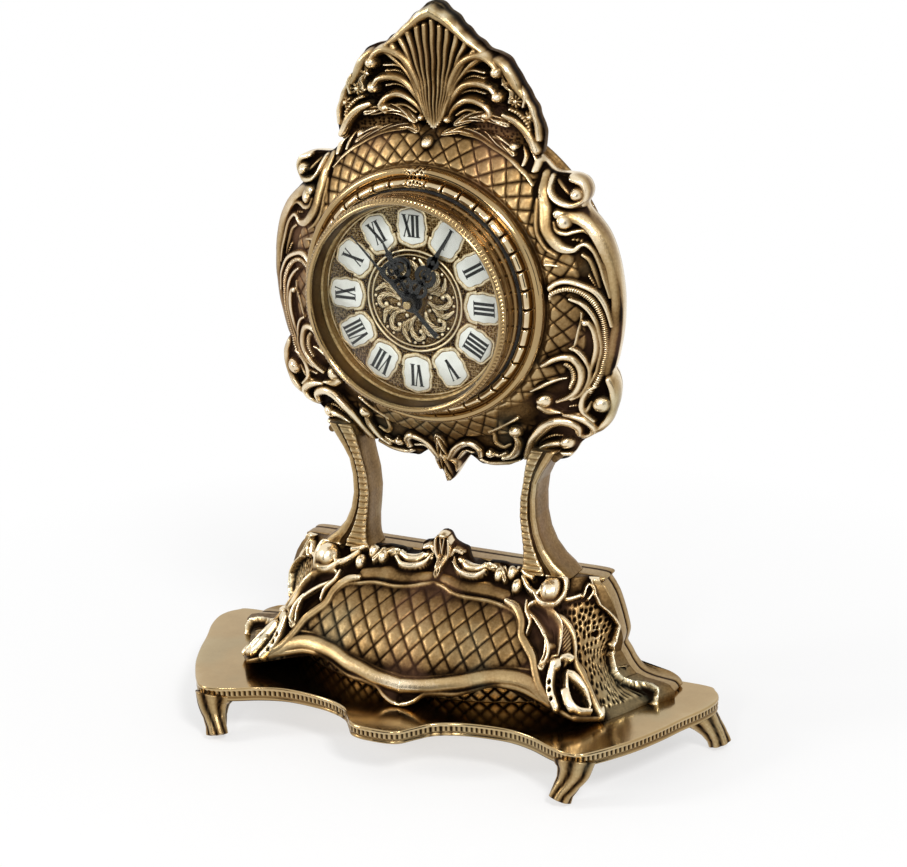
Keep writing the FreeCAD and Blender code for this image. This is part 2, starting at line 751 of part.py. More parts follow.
border_back = value("border_back_y")
column_top = value("column_top")
tab_top = column_top + value("column_tab_height")
head_screw_places = [
    Vector(
        side * value("head_screw_x"),
        border_back + value("column_tab"),
        column_top + value("head_screw_rise"),
    )
    for side in (-1, 1)
]


def column_shape():
    """C-shaped upright, waisted towards the middle of the clock, with a screw tab behind."""
    front = value("column_front_y")
    inner = value("column_inner_x")
    outer = inner + value("column_width")
    foot = value("column_foot_spread")
    head = value("column_head_spread")
    rise = column_top - pedestal_top
    inner_edge = spline([
        Vector(inner + value("column_heel"), front, column_top),
        Vector(inner + 1, front, column_top - rise * 0.33),
        Vector(inner, front, pedestal_top + rise * 0.45),
        Vector(inner + 1, front, pedestal_top + rise * 0.2),
        Vector(column_heel, front, pedestal_top),
    ])
    outer_edge = spline([
        Vector(outer + foot, front, pedestal_top),
        Vector(outer + foot * 0.3, front, pedestal_top + rise * 0.16),
        Vector(outer, front, pedestal_top + rise * 0.45),
        Vector(outer + head * 0.1, front, column_top - rise * 0.25),
        Vector(outer + head, front, column_top),
    ])
    ends = [edge.valueAt(edge.FirstParameter) for edge in (inner_edge, outer_edge)]
    far_ends = [edge.valueAt(edge.LastParameter) for edge in (inner_edge, outer_edge)]
    sole = Part.makeLine(far_ends[0], ends[1])
    cap = Part.makeLine(far_ends[1], ends[0])
    outline = Part.Wire([inner_edge, sole, outer_edge, cap])
    upright = Part.Face(outline).extrude(alongY * value("column_depth"))
    tab_back = border_back + value("column_tab")
    tab_half = value("column_tab_height") * 0.67
    tab_x = value("head_screw_x")
    tab_low = column_top - value("column_tab")
    tab = block(tab_x - tab_half, tab_x + tab_half, border_back, tab_back, tab_low, tab_top)
    bores = screw_bores(column_screw_places, upZ)
    bores += [rod(place, -alongY, value("screw_radius"), boss_radius) for place in head_screw_places]
    return one_solid(upright.fuse(tab).cut(bores))


column = column_shape()
add_feature("column_right", column)
add_feature("column_left", mirrored(column))

# ---------------------------------------------------------------- head

dial_z = value("dial_height")
border_front = value("border_front_y")
border_radius = value("border_radius")
dome_outer = value("dome_outer_radius")


def bump(angle, middle, width):
    return math.exp(-(((angle - middle) / width) ** 2))


def at_angle(radius, angle, y):
    """Point on a circle about the dial's axis, with 0 at the right and 90 at the top."""
    turn = math.radians(angle)
    return Vector(radius * math.cos(turn), y, dial_z + radius * math.sin(turn))


def border_reach(angle):
    """Radius of the head's silhouette, lobed above each column and dropped at the bottom."""
    lobe = value("border_corner_lobe") * bump(angle, -52, 12)
    drop = value("border_drop") * bump(angle, -90, 4)
    side = 3 * bump(angle, -2, 14)
    return border_radius + lobe + drop + side


def closed_spline(points):
    curve = Part.BSplineCurve()
    curve.interpolate(Points=points, PeriodicFlag=True)
    return Part.Wire(curve.toShape())


def dome_profile():
    """Turned wall of the trellis band with the flange that carries the collar."""
    inner_r, outer_r = value("dome_inner_radius"), dome_outer
    inner_y, outer_y = value("dome_inner_y"), value("dome_outer_y")
    thick = value("dome_wall")
    seat_y = value("collar_back_y")
    bulge = Vector((inner_r + outer_r) / 2 - 1.2, (inner_y + outer_y) / 2 - 1.8, dial_z)
    corners = [
        Vector(outer_r, outer_y, dial_z),
        Vector(outer_r, border_back - 1, dial_z),
        Vector(outer_r - 4, border_back - 1, dial_z),
        Vector(inner_r - 1, seat_y + thick, dial_z),
        Vector(value("collar_bore") + 3, seat_y + thick, dial_z),
        Vector(value("collar_bore") + 3, seat_y, dial_z),
        Vector(inner_r, seat_y, dial_z),
        Vector(inner_r, inner_y, dial_z),
    ]
    arc = Part.Arc(corners[-1], bulge, corners[0]).toShape()
    return Part.Face(Part.Wire([arc] + Part.makePolygon(corners).Edges))


dome = dome_profile().revolve(Vector(0, 0, dial_z), alongY, 360)
outline_points = []
for step in range(72):
    angle = -180 + step * 5
    folded = angle if abs(angle) <= 90 else math.copysign(180, angle) - angle
    outline_points.append(at_angle(border_reach(folded), angle, border_front))
border = Part.Face(closed_spline(outline_points)).extrude(alongY * (border_back - border_front))
dome_bore = rod(Vector(0, 0, dial_z), alongY, dome_outer - 4, far)
border = border.cut(dome_bore)
scroll_radius = value("scroll_radius")


def head_scrolls():
    """Raised C-scrolls of the right half: side, shoulder, lower corner and bottom leaf."""
    mid = border_front - scroll_radius * 0.2
    side = horn(
        [at_angle(border_radius - reach, angle, mid) for reach, angle in
         ((9, 31), (2, 22), (0, 8), (1, -8), (6, -20), (11, -25))],
        [scroll_radius * part for part in (0.7, 0.9, 1.1, 1.1, 0.9, 0.8)],
    )
    shoulder = horn(
        [at_angle(border_radius - reach, angle, mid) for reach, angle in
         ((1, 52), (4, 46), (4, 40), (2, 35))],
        [scroll_radius * part for part in (0.7, 0.9, 1, 1.1)],
    )
    lower = horn(
        [at_angle(border_radius + reach, angle, mid) for reach, angle in
         ((-3, -28), (3, -34), (8, -42), (8, -51), (2, -57))],
        [scroll_radius * part for part in (0.8, 1.1, 1.2, 1.1, 0.9)],
    )
    swag = horn(
        [at_angle(border_radius + reach, angle, mid) for reach, angle in
         ((-4, -62), (-2, -69), (-3, -76), (-2, -83))],
        [scroll_radius * part for part in (0.8, 0.9, 0.9, 0.8)],
    )
    return [side, shoulder, lower, swag]


def band_place(x, rise):
    """Point in the surface of the trellis band, at a distance right of the dial's middle and above it."""
    inner_r, inner_y = value("dome_inner_radius"), value("dome_inner_y")
    share = (math.hypot(x, rise) - inner_r) / (dome_outer - inner_r)
    y = inner_y + (value("dome_outer_y") - inner_y) * share - value("band_bulge") * 4 * share * (1 - share)
    return Vector(x, y, dial_z + rise)


def trellis_scrolls():
    """Smooth S and the large C beside it that lie on the trellis band."""
    double_curve = horn(
        [band_place(x, rise) for x, rise in ((47, 41), (51, 36), (54, 30), (56.5, 24.5), (60, 20))],
        [scroll_radius * part for part in (0.6, 0.75, 0.8, 0.75, 0.6)],
    )
    large_curve = horn(
        [band_place(x, rise) for x, rise in ((56, -31), (60.5, -26), (61.5, -19), (59.5, -12))],
        [scroll_radius * part for part in (0.6, 0.8, 0.8, 0.6)],
    )
    return [double_curve, large_curve]


leaf = horn(
    [at_angle(border_radius + reach, -90, border_front) for reach in (-10, -2, 4, 8)],
    [scroll_radius * part for part in (0.8, 1.5, 1, 0.55)],
)
bowl_screw_places = [
    at_angle(value("bowl_screw_radius"), angle, value("bowl_back_y")) for angle in (45, 135, 225, 315)
]
pillar_front = value("border_front_y") - 3
bowl_inner_y = value("bowl_back_y") - value("bowl_wall")
head_pillars = [
    rod(Vector(place.x, pillar_front, place.z), alongY, boss_radius, bowl_inner_y - pillar_front)
    for place in bowl_screw_places
]
raised = [leaf]
for piece in head_scrolls():
    raised += both_sides(piece)
head_shape = dome.fuse([border] + head_pillars + raised)
for piece in trellis_scrolls():
    for side_piece in both_sides(piece):
        head_shape = head_shape.fuse(side_piece)
behind_border = block(-far, far, border_back, far, 0, far)
behind_border = behind_border.cut(rod(Vector(0, 0, dial_z), alongY, dome_outer - 5, far))
column_room = both_sides(block(value("column_inner_x") - 4, far, 0, far, 0, column_top))
head_bores = [
    rod(place, -alongY, value("screw_radius"), boss_radius * 4)
    for place in bowl_screw_places + head_screw_places
]
head_shape = head_shape.cut([behind_border] + column_room + head_bores)
head_shape = max(head_shape.Solids, key=lambda solid: solid.Volume)
add_feature("head_front", head_shape)

head_back = turned(
    "head_back",
    (
        ("bowl_radius", "border_back_y"),
        ("bowl_radius", "bowl_back_y-4.5"),
        ("bowl_radius-4.5", "bowl_back_y", "4.5"),
        ("bowl_opening", "bowl_back_y"),
        ("bowl_opening", "bowl_back_y-bowl_wall"),
        ("bowl_radius-4.5", "bowl_back_y-bowl_wall"),
        ("bowl_radius-bowl_wall", "bowl_back_y-4.5", "-(4.5-bowl_wall)"),
        ("bowl_radius-bowl_wall", "border_back_y"),
    ),
)
bowl_holes = [
    ("screw_radius", "bowl_screw_radius*cos(%d)" % angle, "bowl_screw_radius*sin(%d)" % angle)
    for angle in (45, 135, 225, 315)
]
cut_pocket(head_back, "bowl_back_y-bowl_wall", "bowl_back_y", circles=bowl_holes)

# ---------------------------------------------------------------- crest

crest_base = Vector(0, value("border_front_y"), value("crest_base_z"))
crest_half = value("crest_half")
crest_front = value("crest_front_y")
crest_back = value("crest_back_y")
total_height = value("total_height")


def crest_outline(y, flat):
    """Front view of the crest: shell between stepped volutes."""
    rise = total_height - crest_base.z
    right = [
        Vector(0, y, total_height - flat),
        Vector(crest_half * 0.27, y, crest_base.z + rise * 0.88 - flat),
        Vector(crest_half * 0.52 - flat, y, crest_base.z + rise * 0.64),
        Vector(crest_half * 0.78 - flat, y, crest_base.z + rise * 0.44),
        Vector(crest_half - flat, y, crest_base.z + rise * 0.12),
        Vector(crest_half * 0.9 - flat, y, crest_base.z - rise * 0.16),
    ]
    left = [Vector(-place.x, place.y, place.z) for place in reversed(right[1:])]
    base = Part.makeLine(right[-1], left[0])
    return Part.Wire([spline(left + right), base])


def shell_flutes():
    """Cones that hollow the rays of the shell between its ribs."""
    count = int(value("crest_flutes"))
    reach = total_height - crest_base.z
    cones = []
    for index in range(count):
        angle = math.radians(90 + (index - (count - 1) / 2) * 128 / count)
        ray = Vector(math.cos(angle), -0.02, math.sin(angle))
        start = Vector(crest_base.x, crest_front - 0.6, crest_base.z) + ray * 7
        cones.append(Part.makeCone(0.5, 3.4, reach, start, ray))
    return cones


crest_plate = Part.Face(crest_outline(border_front, 0)).extrude(alongY * (crest_back - border_front))
shell_disc = Part.makeCone(
    total_height - crest_base.z - 12,
    total_height - crest_base.z,
    border_front - crest_front,
    crest_base - alongY * (border_front - crest_front),
    alongY,
)
shell_wedge = Part.Face(Part.makePolygon([
    Vector(0, crest_front - 1, crest_base.z - 5),
    Vector(crest_half, crest_front - 1, crest_base.z + 24),
    Vector(crest_half * 0.4, crest_front - 1, total_height + 20),
    Vector(-crest_half * 0.4, crest_front - 1, total_height + 20),
    Vector(-crest_half, crest_front - 1, crest_base.z + 24),
    Vector(0, crest_front - 1, crest_base.z - 5),
])).extrude(alongY * 20)
crest_wall = Part.Face(crest_outline(crest_front - 1, 0)).extrude(alongY * 20)
shell_front = shell_disc.common(shell_wedge).common(crest_wall).cut(shell_flutes())


def crest_volutes():
    """Three curled volutes down the right of the shell."""
    y = border_front - scroll_radius * 0.2
    rolls = []
    for share, lift in ((0.62, 0.46), (0.63, 0.27), (0.52, 0.1)):
        x = crest_half * share
        z = crest_base.z + (total_height - crest_base.z) * lift
        path = [Vector(x + right, y, z + up) for right, up in ((10, -9), (11.5, -3), (8, 2), (2, 0))]
        rolls.append(horn(path, [scroll_radius * part for part in (0.6, 0.9, 1, 1.15)]))
    return rolls


rolls = [roll for piece in crest_volutes() for roll in both_sides(piece)]
crest_seat = border_radius + value("seat_clearance")
head_disc = rod(Vector(0, border_front, dial_z), alongY, crest_seat, far)
crest_body = crest_plate.fuse(shell_front)
for roll in rolls:
    crest_body = crest_body.fuse(roll)
crest_body = crest_body.cut(head_disc).cut(head_shape)
crest_solid = max(crest_body.Solids, key=lambda solid: solid.Volume)
add_feature("crest", crest_solid)

# ---------------------------------------------------------------- collar, bezel, glass and dial

turned(
    "collar",
    (
        ("collar_bore", "collar_front_y"),
        ("bead_ring_radius-bead_half", "collar_front_y"),
        ("bead_ring_radius+bead_half", "collar_front_y", "bead_half*1.05"),
        ("collar_torus_radius-collar_torus_half", "collar_front_y"),
        ("collar_torus_radius+collar_torus_half", "collar_front_y", "collar_torus_half*1.05"),
        ("collar_torus_radius", "collar_front_y+collar_torus_half", "collar_torus_half"),
        ("dome_inner_radius-seat_clearance", "collar_front_y+collar_torus_half*2"),
        ("dome_inner_radius-seat_clearance", "collar_back_y"),
        ("dome_inner_radius-collar_wall", "collar_back_y"),
        ("dome_inner_radius-collar_wall", "collar_front_y+casting_wall"),
        ("collar_bore+collar_wall", "collar_front_y+casting_wall"),
        ("collar_bore+collar_wall", "collar_back_y"),
        ("collar_bore", "collar_back_y"),
    ),
)
turned(
    "bezel",
    (
        ("bezel_opening", "lens_edge_y-0.9"),
        ("bezel_opening", "bezel_front_y+0.9"),
        ("bezel_opening+1.4", "bezel_front_y"),
        ("bezel_radius-1.8", "bezel_front_y"),
        ("bezel_radius", "bezel_front_y+1.8", "1.8"),
        ("bezel_radius", "collar_front_y-5"),
        ("collar_bore+0.7", "collar_front_y-4"),
        ("collar_bore+0.7", "collar_front_y"),
        ("bezel_bore", "collar_front_y"),
        ("bezel_bore", "lens_edge_y-0.9"),
    ),
)
lens_edge = "bezel_bore-seat_clearance"
lens_arc = "((%s)^2+lens_rise^2)/(2*lens_rise)" % lens_edge
turned(
    "lens",
    (
        ("0", "lens_edge_y-lens_rise"),
        (lens_edge, "lens_edge_y", lens_arc),
        (lens_edge, "lens_edge_y+lens_thickness"),
        ("0", "lens_edge_y-lens_rise+lens_thickness", "-" + lens_arc),
    ),
)
turned(
    "dial_spacer",
    (
        ("spacer_opening", "dial_y"),
        ("spacer_opening", "lens_edge_y+lens_thickness+0.4"),
        ("spacer_opening+0.8", "lens_edge_y+lens_thickness"),
        (lens_edge, "lens_edge_y+lens_thickness"),
        (lens_edge, "dial_y"),
    ),
)
dial_back = "dial_y+dial_thickness"
turned(
    "dial_plate",
    (
        ("bush_radius+running_fit", "dial_y"),
        (lens_edge, "dial_y"),
        (lens_edge, dial_back),
        ("bush_radius+running_fit", dial_back),
    ),
)
nut_corner = "nut_flats/sqrt(3)"
turned(
    "dial_medallion",
    (
        (nut_corner + "+seat_clearance", "dial_y-medallion_thickness*0.6"),
        ("medallion_radius-1.6", "dial_y-medallion_thickness*0.6"),
        ("medallion_radius-1.6", "dial_y-medallion_thickness"),
        ("medallion_radius", "dial_y-medallion_thickness"),
        ("medallion_radius", "dial_y"),
        (nut_corner + "+seat_clearance", "dial_y"),
    ),
)
turned(
    "dial_cup",
    (
        ("bezel_bore-cup_wall", dial_back),
        ("bezel_bore-seat_clearance", dial_back),
        ("bezel_bore-seat_clearance", "collar_front_y"),
        ("cup_radius", "collar_front_y"),
        ("cup_radius", "cup_back_y"),
        ("cup_radius-casting_wall", "cup_back_y"),
        ("cup_radius-casting_wall", "cup_back_y-cup_wall"),
        ("cup_radius-cup_wall", "cup_back_y-cup_wall"),
        ("cup_radius-cup_wall", "collar_front_y+cup_wall"),
        ("bezel_bore-cup_wall", "collar_front_y+cup_wall"),
    ),
)
turned(
    "cup_gasket",
    (
        ("cup_radius", "collar_front_y+2"),
        ("collar_bore", "collar_front_y+2"),
        ("collar_bore", "collar_back_y-2"),
        ("cup_radius", "collar_back_y-2"),
    ),
)

dial_y = value("dial_y")


def cartouche(index):
    """Enamel plaque with a pointed foot and a scalloped top, turned to its hour."""
    half = value("cartouche_width") / 2
    tall = value("cartouche_height") / 2
    middle = value("numeral_ring_radius")
    right = [(0, 1), (0.55, 0.86), (0.92, 0.5), (0.98, 0), (0.78, -0.55), (0.36, -0.8), (0, -1)]
    left = [(-x, z) for x, z in reversed(right[1:-1])]
    turn = math.radians(index * 30)
    thick = value("cartouche_thickness")
    places = []
    for x, z in right + left:
        across, out = x * half, middle + z * tall
        side = across * math.cos(turn) + out * math.sin(turn)
        up = -across * math.sin(turn) + out * math.cos(turn)
        places.append(Vector(side, dial_y - thick, up))
    return Part.Face(closed_spline(places)).extrude(alongY * thick)


cartouches = Part.makeCompound([cartouche(hour) for hour in range(12)])
add_feature("hour_cartouches", cartouches, z=dial_z)

# ---------------------------------------------------------------- hands

running_fit = value("running_fit")
seconds_radius = value("seconds_arbor_radius")
minute_bore = seconds_radius + running_fit
minute_tube = minute_bore + value("minute_tube_wall")
hour_bore = minute_tube + running_fit
hour_tube = hour_bore + value("hour_tube_wall")
hand_thickness = value("hand_thickness")


def flat_piece(points, y, thickness):
    corners = [Vector(x, y, z) for x, z in points]
    return Part.Face(Part.makePolygon(corners + corners[:1])).extrude(alongY * thickness)


def ring(x, z, y, radius, hole, thickness):
    disc = rod(Vector(x, y, z), alongY, radius, thickness)
    return disc.cut(rod(Vector(x, y, z), alongY, hole, thickness))


def pierced_hand(label, y, bore, width):
    """Hand with a hub ring, a pierced heart, two side rings and a needle tip, all one stamping."""
    thick = hand_thickness
    length = value(label + "_length")
    angle = value(label + "_angle")
    neck = length * 0.3
    heart = length * 0.5
    blade = flat_piece(
        [(-width * 0.35, 0), (width * 0.35, 0), (width * 0.22, neck), (width * 0.9, heart),
         (width * 0.24, length * 0.66), (0.12, length), (-0.12, length), (-width * 0.24, length * 0.66),
         (-width * 0.9, heart), (-width * 0.22, neck)],
        y, thick,
    )
    rings = [ring(0, 0, y, bore + 1.9, bore, thick)]
    for side in (-1, 1):
        rings.append(ring(side * width * 0.62, neck * 0.95, y, width * 0.62, width * 0.28, thick))
        rings.append(ring(side * width * 0.5, length * 0.64, y, width * 0.42, width * 0.18, thick))
    holes = [rod(Vector(0, y, heart), alongY, width * 0.34, thick)]
    holes.append(rod(Vector(0, y, 0), alongY, bore, thick))
    shape = blade.fuse(rings).cut(holes)
    shape = max(shape.Solids, key=lambda solid: solid.Volume).removeSplitter()
    return add_feature(label, shape, z=dial_z, angle=angle)


hour_y = value("hour_hand_y")
minute_y = value("minute_hand_y")
second_y = value("second_hand_y")
pierced_hand("hour_hand", hour_y, hour_tube, 4.4)
pierced_hand("minute_hand", minute_y, minute_tube, 3.4)


def second_hand():
    """Needle with a straight counterweight, swaged on the seconds arbor."""
    blade = flat_piece(
        [(-0.55, -value("second_tail_length")), (0.55, -value("second_tail_length")), (0.45, 0),
         (0.1, value("second_hand_length")), (-0.1, value("second_hand_length")), (-0.45, 0)],
        second_y, hand_thickness,
    )
    hub = ring(0, 0, second_y, value("cap_radius"), seconds_radius, hand_thickness)
    bore = rod(Vector(0, second_y, 0), alongY, seconds_radius, hand_thickness)
    shape = blade.fuse(hub).cut(bore)
    angle = value("second_hand_angle")
    return add_feature("second_hand", one_solid(shape), z=dial_z, angle=angle)


second_hand()
turned(
    "hub_cap",
    (
        ("0", "second_hand_y-cap_height"),
        ("cap_radius-0.5", "second_hand_y-cap_height"),
        ("cap_radius", "second_hand_y-cap_height+0.5", "0.5"),
        ("cap_radius", "second_hand_y"),
        ("0", "second_hand_y"),
    ),
)

# ---------------------------------------------------------------- movement case

case_front = "(dial_y+dial_thickness+washer_thickness)"
case_back = "(%s+case_depth)" % case_front
case_seam = "(%s+case_front_depth)" % case_front
inner_half = "case_half-case_wall"
inner_corner = "case_corner-case_wall"
motion = value("motion_distance")
train = value("train_distance")
case_front_y = value(case_front)
case_back_y = value(case_back)
inner_front_y = case_front_y + value("case_wall")
inner_back_y = case_back_y - value("case_wall")


def spot(distance, direction, start=(0, 0)):
    turn = math.radians(direction)
    return (start[0] + distance * math.cos(turn), start[1] + distance * math.sin(turn))


minute_spot = spot(motion, value("minute_direction"))
setting_spot = spot(motion, value("setting_direction"), minute_spot)
third_spot = spot(train, value("third_direction"))
intermediate_spot = spot(train, value("intermediate_direction"))
rotor_spot = spot(train, value("rotor_direction"), intermediate_spot)


def spot_text(distance, direction, start=("0", "0")):
    """The same place as an expression for x and for z."""
    return (
        "%s+%s*cos(%s)" % (start[0], distance, direction),
        "%s+%s*sin(%s)" % (start[1], distance, direction),
    )


minute_text = spot_text("motion_distance", "minute_direction")
setting_text = spot_text("motion_distance", "setting_direction", minute_text)
third_text = spot_text("train_distance", "third_direction")
intermediate_text = spot_text("train_distance", "intermediate_direction")
rotor_text = spot_text("train_distance", "rotor_direction", intermediate_text)

turned(
    "dial_washer",
    (
        ("bush_radius+seat_clearance", dial_back),
        ("washer_radius", dial_back),
        ("washer_radius", case_front),
        ("bush_radius+seat_clearance", case_front),
    ),
)
hour_outer = "(seconds_arbor_radius+running_fit*2+minute_tube_wall+hour_tube_wall)"
arbor_hole = "arbor_radius+running_fit"

front_case = new_body("movement_front", z="dial_height")
square = rounded_square("case_half", "case_corner")
inner_square = rounded_square(inner_half, inner_corner)
add_pad(front_case, case_front, case_seam, [square])
cut_pocket(front_case, case_front + "+case_wall", case_seam, [inner_square])
add_pad(front_case, "bush_front_y", case_front, circles=[("bush_radius",)])
cut_pocket(
    front_case,
    "bush_front_y",
    case_front + "+case_wall",
    circles=[(hour_outer + "+running_fit",)],
)
blind = case_front + "+case_wall/2"
shaft_hole = "shaft_radius+running_fit"
pivots = [(arbor_hole,) + minute_text, (arbor_hole,) + third_text, (shaft_hole,) + setting_text]
cut_pocket(front_case, blind, case_front + "+case_wall", circles=pivots)

back_case = new_body("movement_back", z="dial_height")
add_pad(back_case, case_seam, case_back, [square])
cut_pocket(back_case, case_seam, case_back + "-case_wall", [inner_square])
back_holes = [
    (arbor_hole,) + third_text,
    (arbor_hole,) + intermediate_text,
    (arbor_hole,) + rotor_text,
    (shaft_hole,) + setting_text,
    ("seconds_arbor_radius+running_fit",),
]
cut_pocket(back_case, case_back + "-case_wall", case_back, circles=back_holes)
battery_window = rectangle(
    "-battery_length/2+case_wall",
    "battery_length/2-case_wall",
    "-battery_drop-battery_radius+case_wall",
    "-battery_drop+battery_radius-case_wall",
)
cut_pocket(back_case, case_back + "-case_wall", case_back, [battery_window])

plate_back = "train_plate_y+train_plate_thickness"
train_plate = new_body("train_plate", z="dial_height")
plate_low = "-battery_drop+battery_radius+wheel_gap"
plate_high = rotor_text[1] + "+magnet_radius/2"
train_outline = rectangle("-(case_half-case_wall)", inner_half, plate_low, plate_high)
plate_holes = [
    (arbor_hole,) + minute_text,
    (arbor_hole,) + third_text,
    (arbor_hole,) + intermediate_text,
    (arbor_hole,) + rotor_text,
    (shaft_hole,) + setting_text,
    ("seconds_arbor_radius+running_fit",),
]
add_pad(train_plate, "train_plate_y", plate_back, [train_outline], plate_holes)

hex_nut = new_body("hex_nut", z="dial_height")
hex_points = [
    ("%s*cos(%d)" % (nut_corner, turn), "%s*sin(%d)" % (nut_corner, turn))
    for turn in range(0, 360, 60)
]
add_pad(hex_nut, "dial_y-nut_thickness", "dial_y", [hex_points], [("bush_radius",)])

# ---------------------------------------------------------------- gear train

tooth_addendum = 0.8
tooth_dedendum = 1.1
tooth_share = 0.4
tip_share = 0.2
wheel_thickness = value("wheel_thickness")
pinion_thickness = value("pinion_thickness")


def gear_module(distance, first, second):
    return 2 * distance / (first + second)


def toothed(teeth, module, phase, y, thickness):
    """Spur gear about the origin. Its phase is the direction of one tooth in degrees."""
    pitch = 360 / teeth
    middle = teeth * module / 2
    root, tip = middle - tooth_dedendum * module, middle + tooth_addendum * module
    flank = (
        (root, -tooth_share), (middle, -tooth_share), (tip, -tip_share),
        (tip, tip_share), (middle, tooth_share), (root, tooth_share),
    )
    corners = []
    for tooth in range(teeth):
        for radius, share in flank:
            turn = math.radians(phase + (tooth + share / 2) * pitch)
            corners.append(Vector(radius * math.cos(turn), y, radius * math.sin(turn)))
    return Part.Face(Part.makePolygon(corners + corners[:1])).extrude(alongY * thickness)


def meshing_phase(phase, teeth, direction, next_teeth):
    """Phase that puts a gap of the next gear on the driver's tooth along their centre line."""
    pitch = 360 / teeth
    off = ((phase - direction + pitch / 2) % pitch - pitch / 2) / pitch
    return direction + 180 + (0.5 - off) * 360 / next_teeth


def arbor(radius, front, back):
    return rod(Vector(0, front, 0), alongY, radius, back - front)


def add_wheel(label, pieces, place, bore=0):
    shape = pieces[0].fuse(pieces[1:])
    if bore:
        shape = shape.cut(rod(Vector(0, -far, 0), alongY, bore, far * 2))
    return add_feature(label, one_solid(shape), place[0], 0, dial_z + place[1])


wheel_gap = value("wheel_gap")
layer_hour = inner_front_y + wheel_gap
layer_minute = layer_hour + wheel_thickness + wheel_gap * 2
train_plate_front = value("train_plate_y")
train_plate_back = train_plate_front + value("train_plate_thickness")
layer_centre = train_plate_front - wheel_thickness - wheel_gap
layer_third = train_plate_back + wheel_gap
layer_seconds = layer_third + wheel_thickness + wheel_gap * 2
layer_intermediate = layer_seconds + wheel_thickness + wheel_gap * 2.5
pinion_lead = (pinion_thickness - wheel_thickness) / 2

cannon_teeth, minute_teeth = 12, 36
minute_leaves, hour_teeth = 12, 48
setting_leaves = 12
centre_teeth, third_leaves = 64, 8
third_teeth, seconds_leaves = 60, 8
seconds_teeth, intermediate_leaves = 32, 8
intermediate_teeth, rotor_leaves = 60, 8
motion_module = gear_module(motion, cannon_teeth, minute_teeth)
hour_module = gear_module(motion, minute_leaves, hour_teeth)
centre_module = gear_module(train, third_leaves, centre_teeth)
third_module = gear_module(train, seconds_leaves, third_teeth)
seconds_module = gear_module(train, intermediate_leaves, seconds_teeth)
rotor_module = gear_module(train, rotor_leaves, intermediate_teeth)
minute_way, third_way = value("minute_direction"), value("third_direction")
setting_way, rotor_way = value("setting_direction"), value("rotor_direction")
intermediate_way = value("intermediate_direction")

minute_phase = meshing_phase(0, cannon_teeth, minute_way, minute_teeth)
hour_phase = meshing_phase(0, minute_leaves, minute_way + 180, hour_teeth)
setting_phase = meshing_phase(minute_phase, minute_teeth, setting_way, setting_leaves)
centre_phase = meshing_phase(0, third_leaves, third_way + 180, centre_teeth)
third_phase = meshing_phase(0, seconds_leaves, third_way, third_teeth)
seconds_phase = meshing_phase(0, intermediate_leaves, intermediate_way + 180, seconds_teeth)
intermediate_phase = meshing_phase(0, rotor_leaves, rotor_way + 180, intermediate_teeth)

arbor_radius = value("arbor_radius")
hub = value("hub_radius")
pivot_front = case_front_y + value("case_wall") / 2
pivot_back = case_back_y - value("case_wall") / 2

add_wheel(
    "hour_wheel",
    [
        toothed(hour_teeth, hour_module, hour_phase, layer_hour, wheel_thickness),
        arbor(hour_tube, hour_y, layer_hour + wheel_thickness),
    ],
    (0, 0),
    hour_bore,
)
add_wheel(
    "centre_wheel",
    [
        toothed(cannon_teeth, motion_module, 0, layer_minute - pinion_lead, pinion_thickness),
        arbor(minute_tube, minute_y, layer_centre + wheel_thickness),
        toothed(centre_teeth, centre_module, centre_phase, layer_centre, wheel_thickness),
    ],
    (0, 0),
    minute_bore,
)
add_wheel(
    "seconds_wheel",
    [
        toothed(seconds_leaves, third_module, 0, layer_third - pinion_lead, pinion_thickness),
        arbor(seconds_radius, second_y, pivot_back),
        toothed(seconds_teeth, seconds_module, seconds_phase, layer_seconds, wheel_thickness),
        arbor(hub, layer_third + wheel_thickness, layer_seconds + wheel_thickness),
    ],
    (0, 0),
)
add_wheel(
    "minute_wheel",
    [
        toothed(minute_leaves, hour_module, 0, layer_hour - pinion_lead, pinion_thickness),
        arbor(arbor_radius, pivot_front, train_plate_back),
        toothed(minute_teeth, motion_module, minute_phase, layer_minute, wheel_thickness),
    ],
    minute_spot,
)
add_wheel(
    "third_wheel",
    [
        toothed(third_leaves, centre_module, 0, layer_centre - pinion_lead, pinion_thickness),
        arbor(arbor_radius, pivot_front, pivot_back),
        toothed(third_teeth, third_module, third_phase, layer_third, wheel_thickness),
    ],
    third_spot,
)
add_wheel(
    "intermediate_wheel",
    [
        toothed(intermediate_leaves, seconds_module, 0, layer_seconds - pinion_lead, pinion_thickness),
        arbor(arbor_radius, train_plate_front, pivot_back),
        toothed(intermediate_teeth, rotor_module, intermediate_phase, layer_intermediate, wheel_thickness),
    ],
    intermediate_spot,
)
add_wheel(
    "rotor",
    [
        toothed(rotor_leaves, rotor_module, 0, layer_intermediate - pinion_lead, pinion_thickness),
        arbor(arbor_radius, train_plate_front, pivot_back),
        arbor(value("magnet_radius"), layer_third, layer_third + value("magnet_length")),
    ],
    rotor_spot,
)
shaft_radius = value("shaft_radius")
knob_start = case_back_y + wheel_gap
knob_ribs = 24
knob_module = gear_module(value("knob_radius") * 2, knob_ribs, knob_ribs + tooth_addendum * 4)
add_wheel(
    "setting_knob",
    [
        toothed(setting_leaves, motion_module, setting_phase, layer_minute - pinion_lead, pinion_thickness),
        arbor(shaft_radius, pivot_front, knob_start + 1),
        toothed(knob_ribs, knob_module, 0, knob_start, value("knob_thickness")),
    ],
    setting_spot,
)

# ---------------------------------------------------------------- motor, circuit and battery

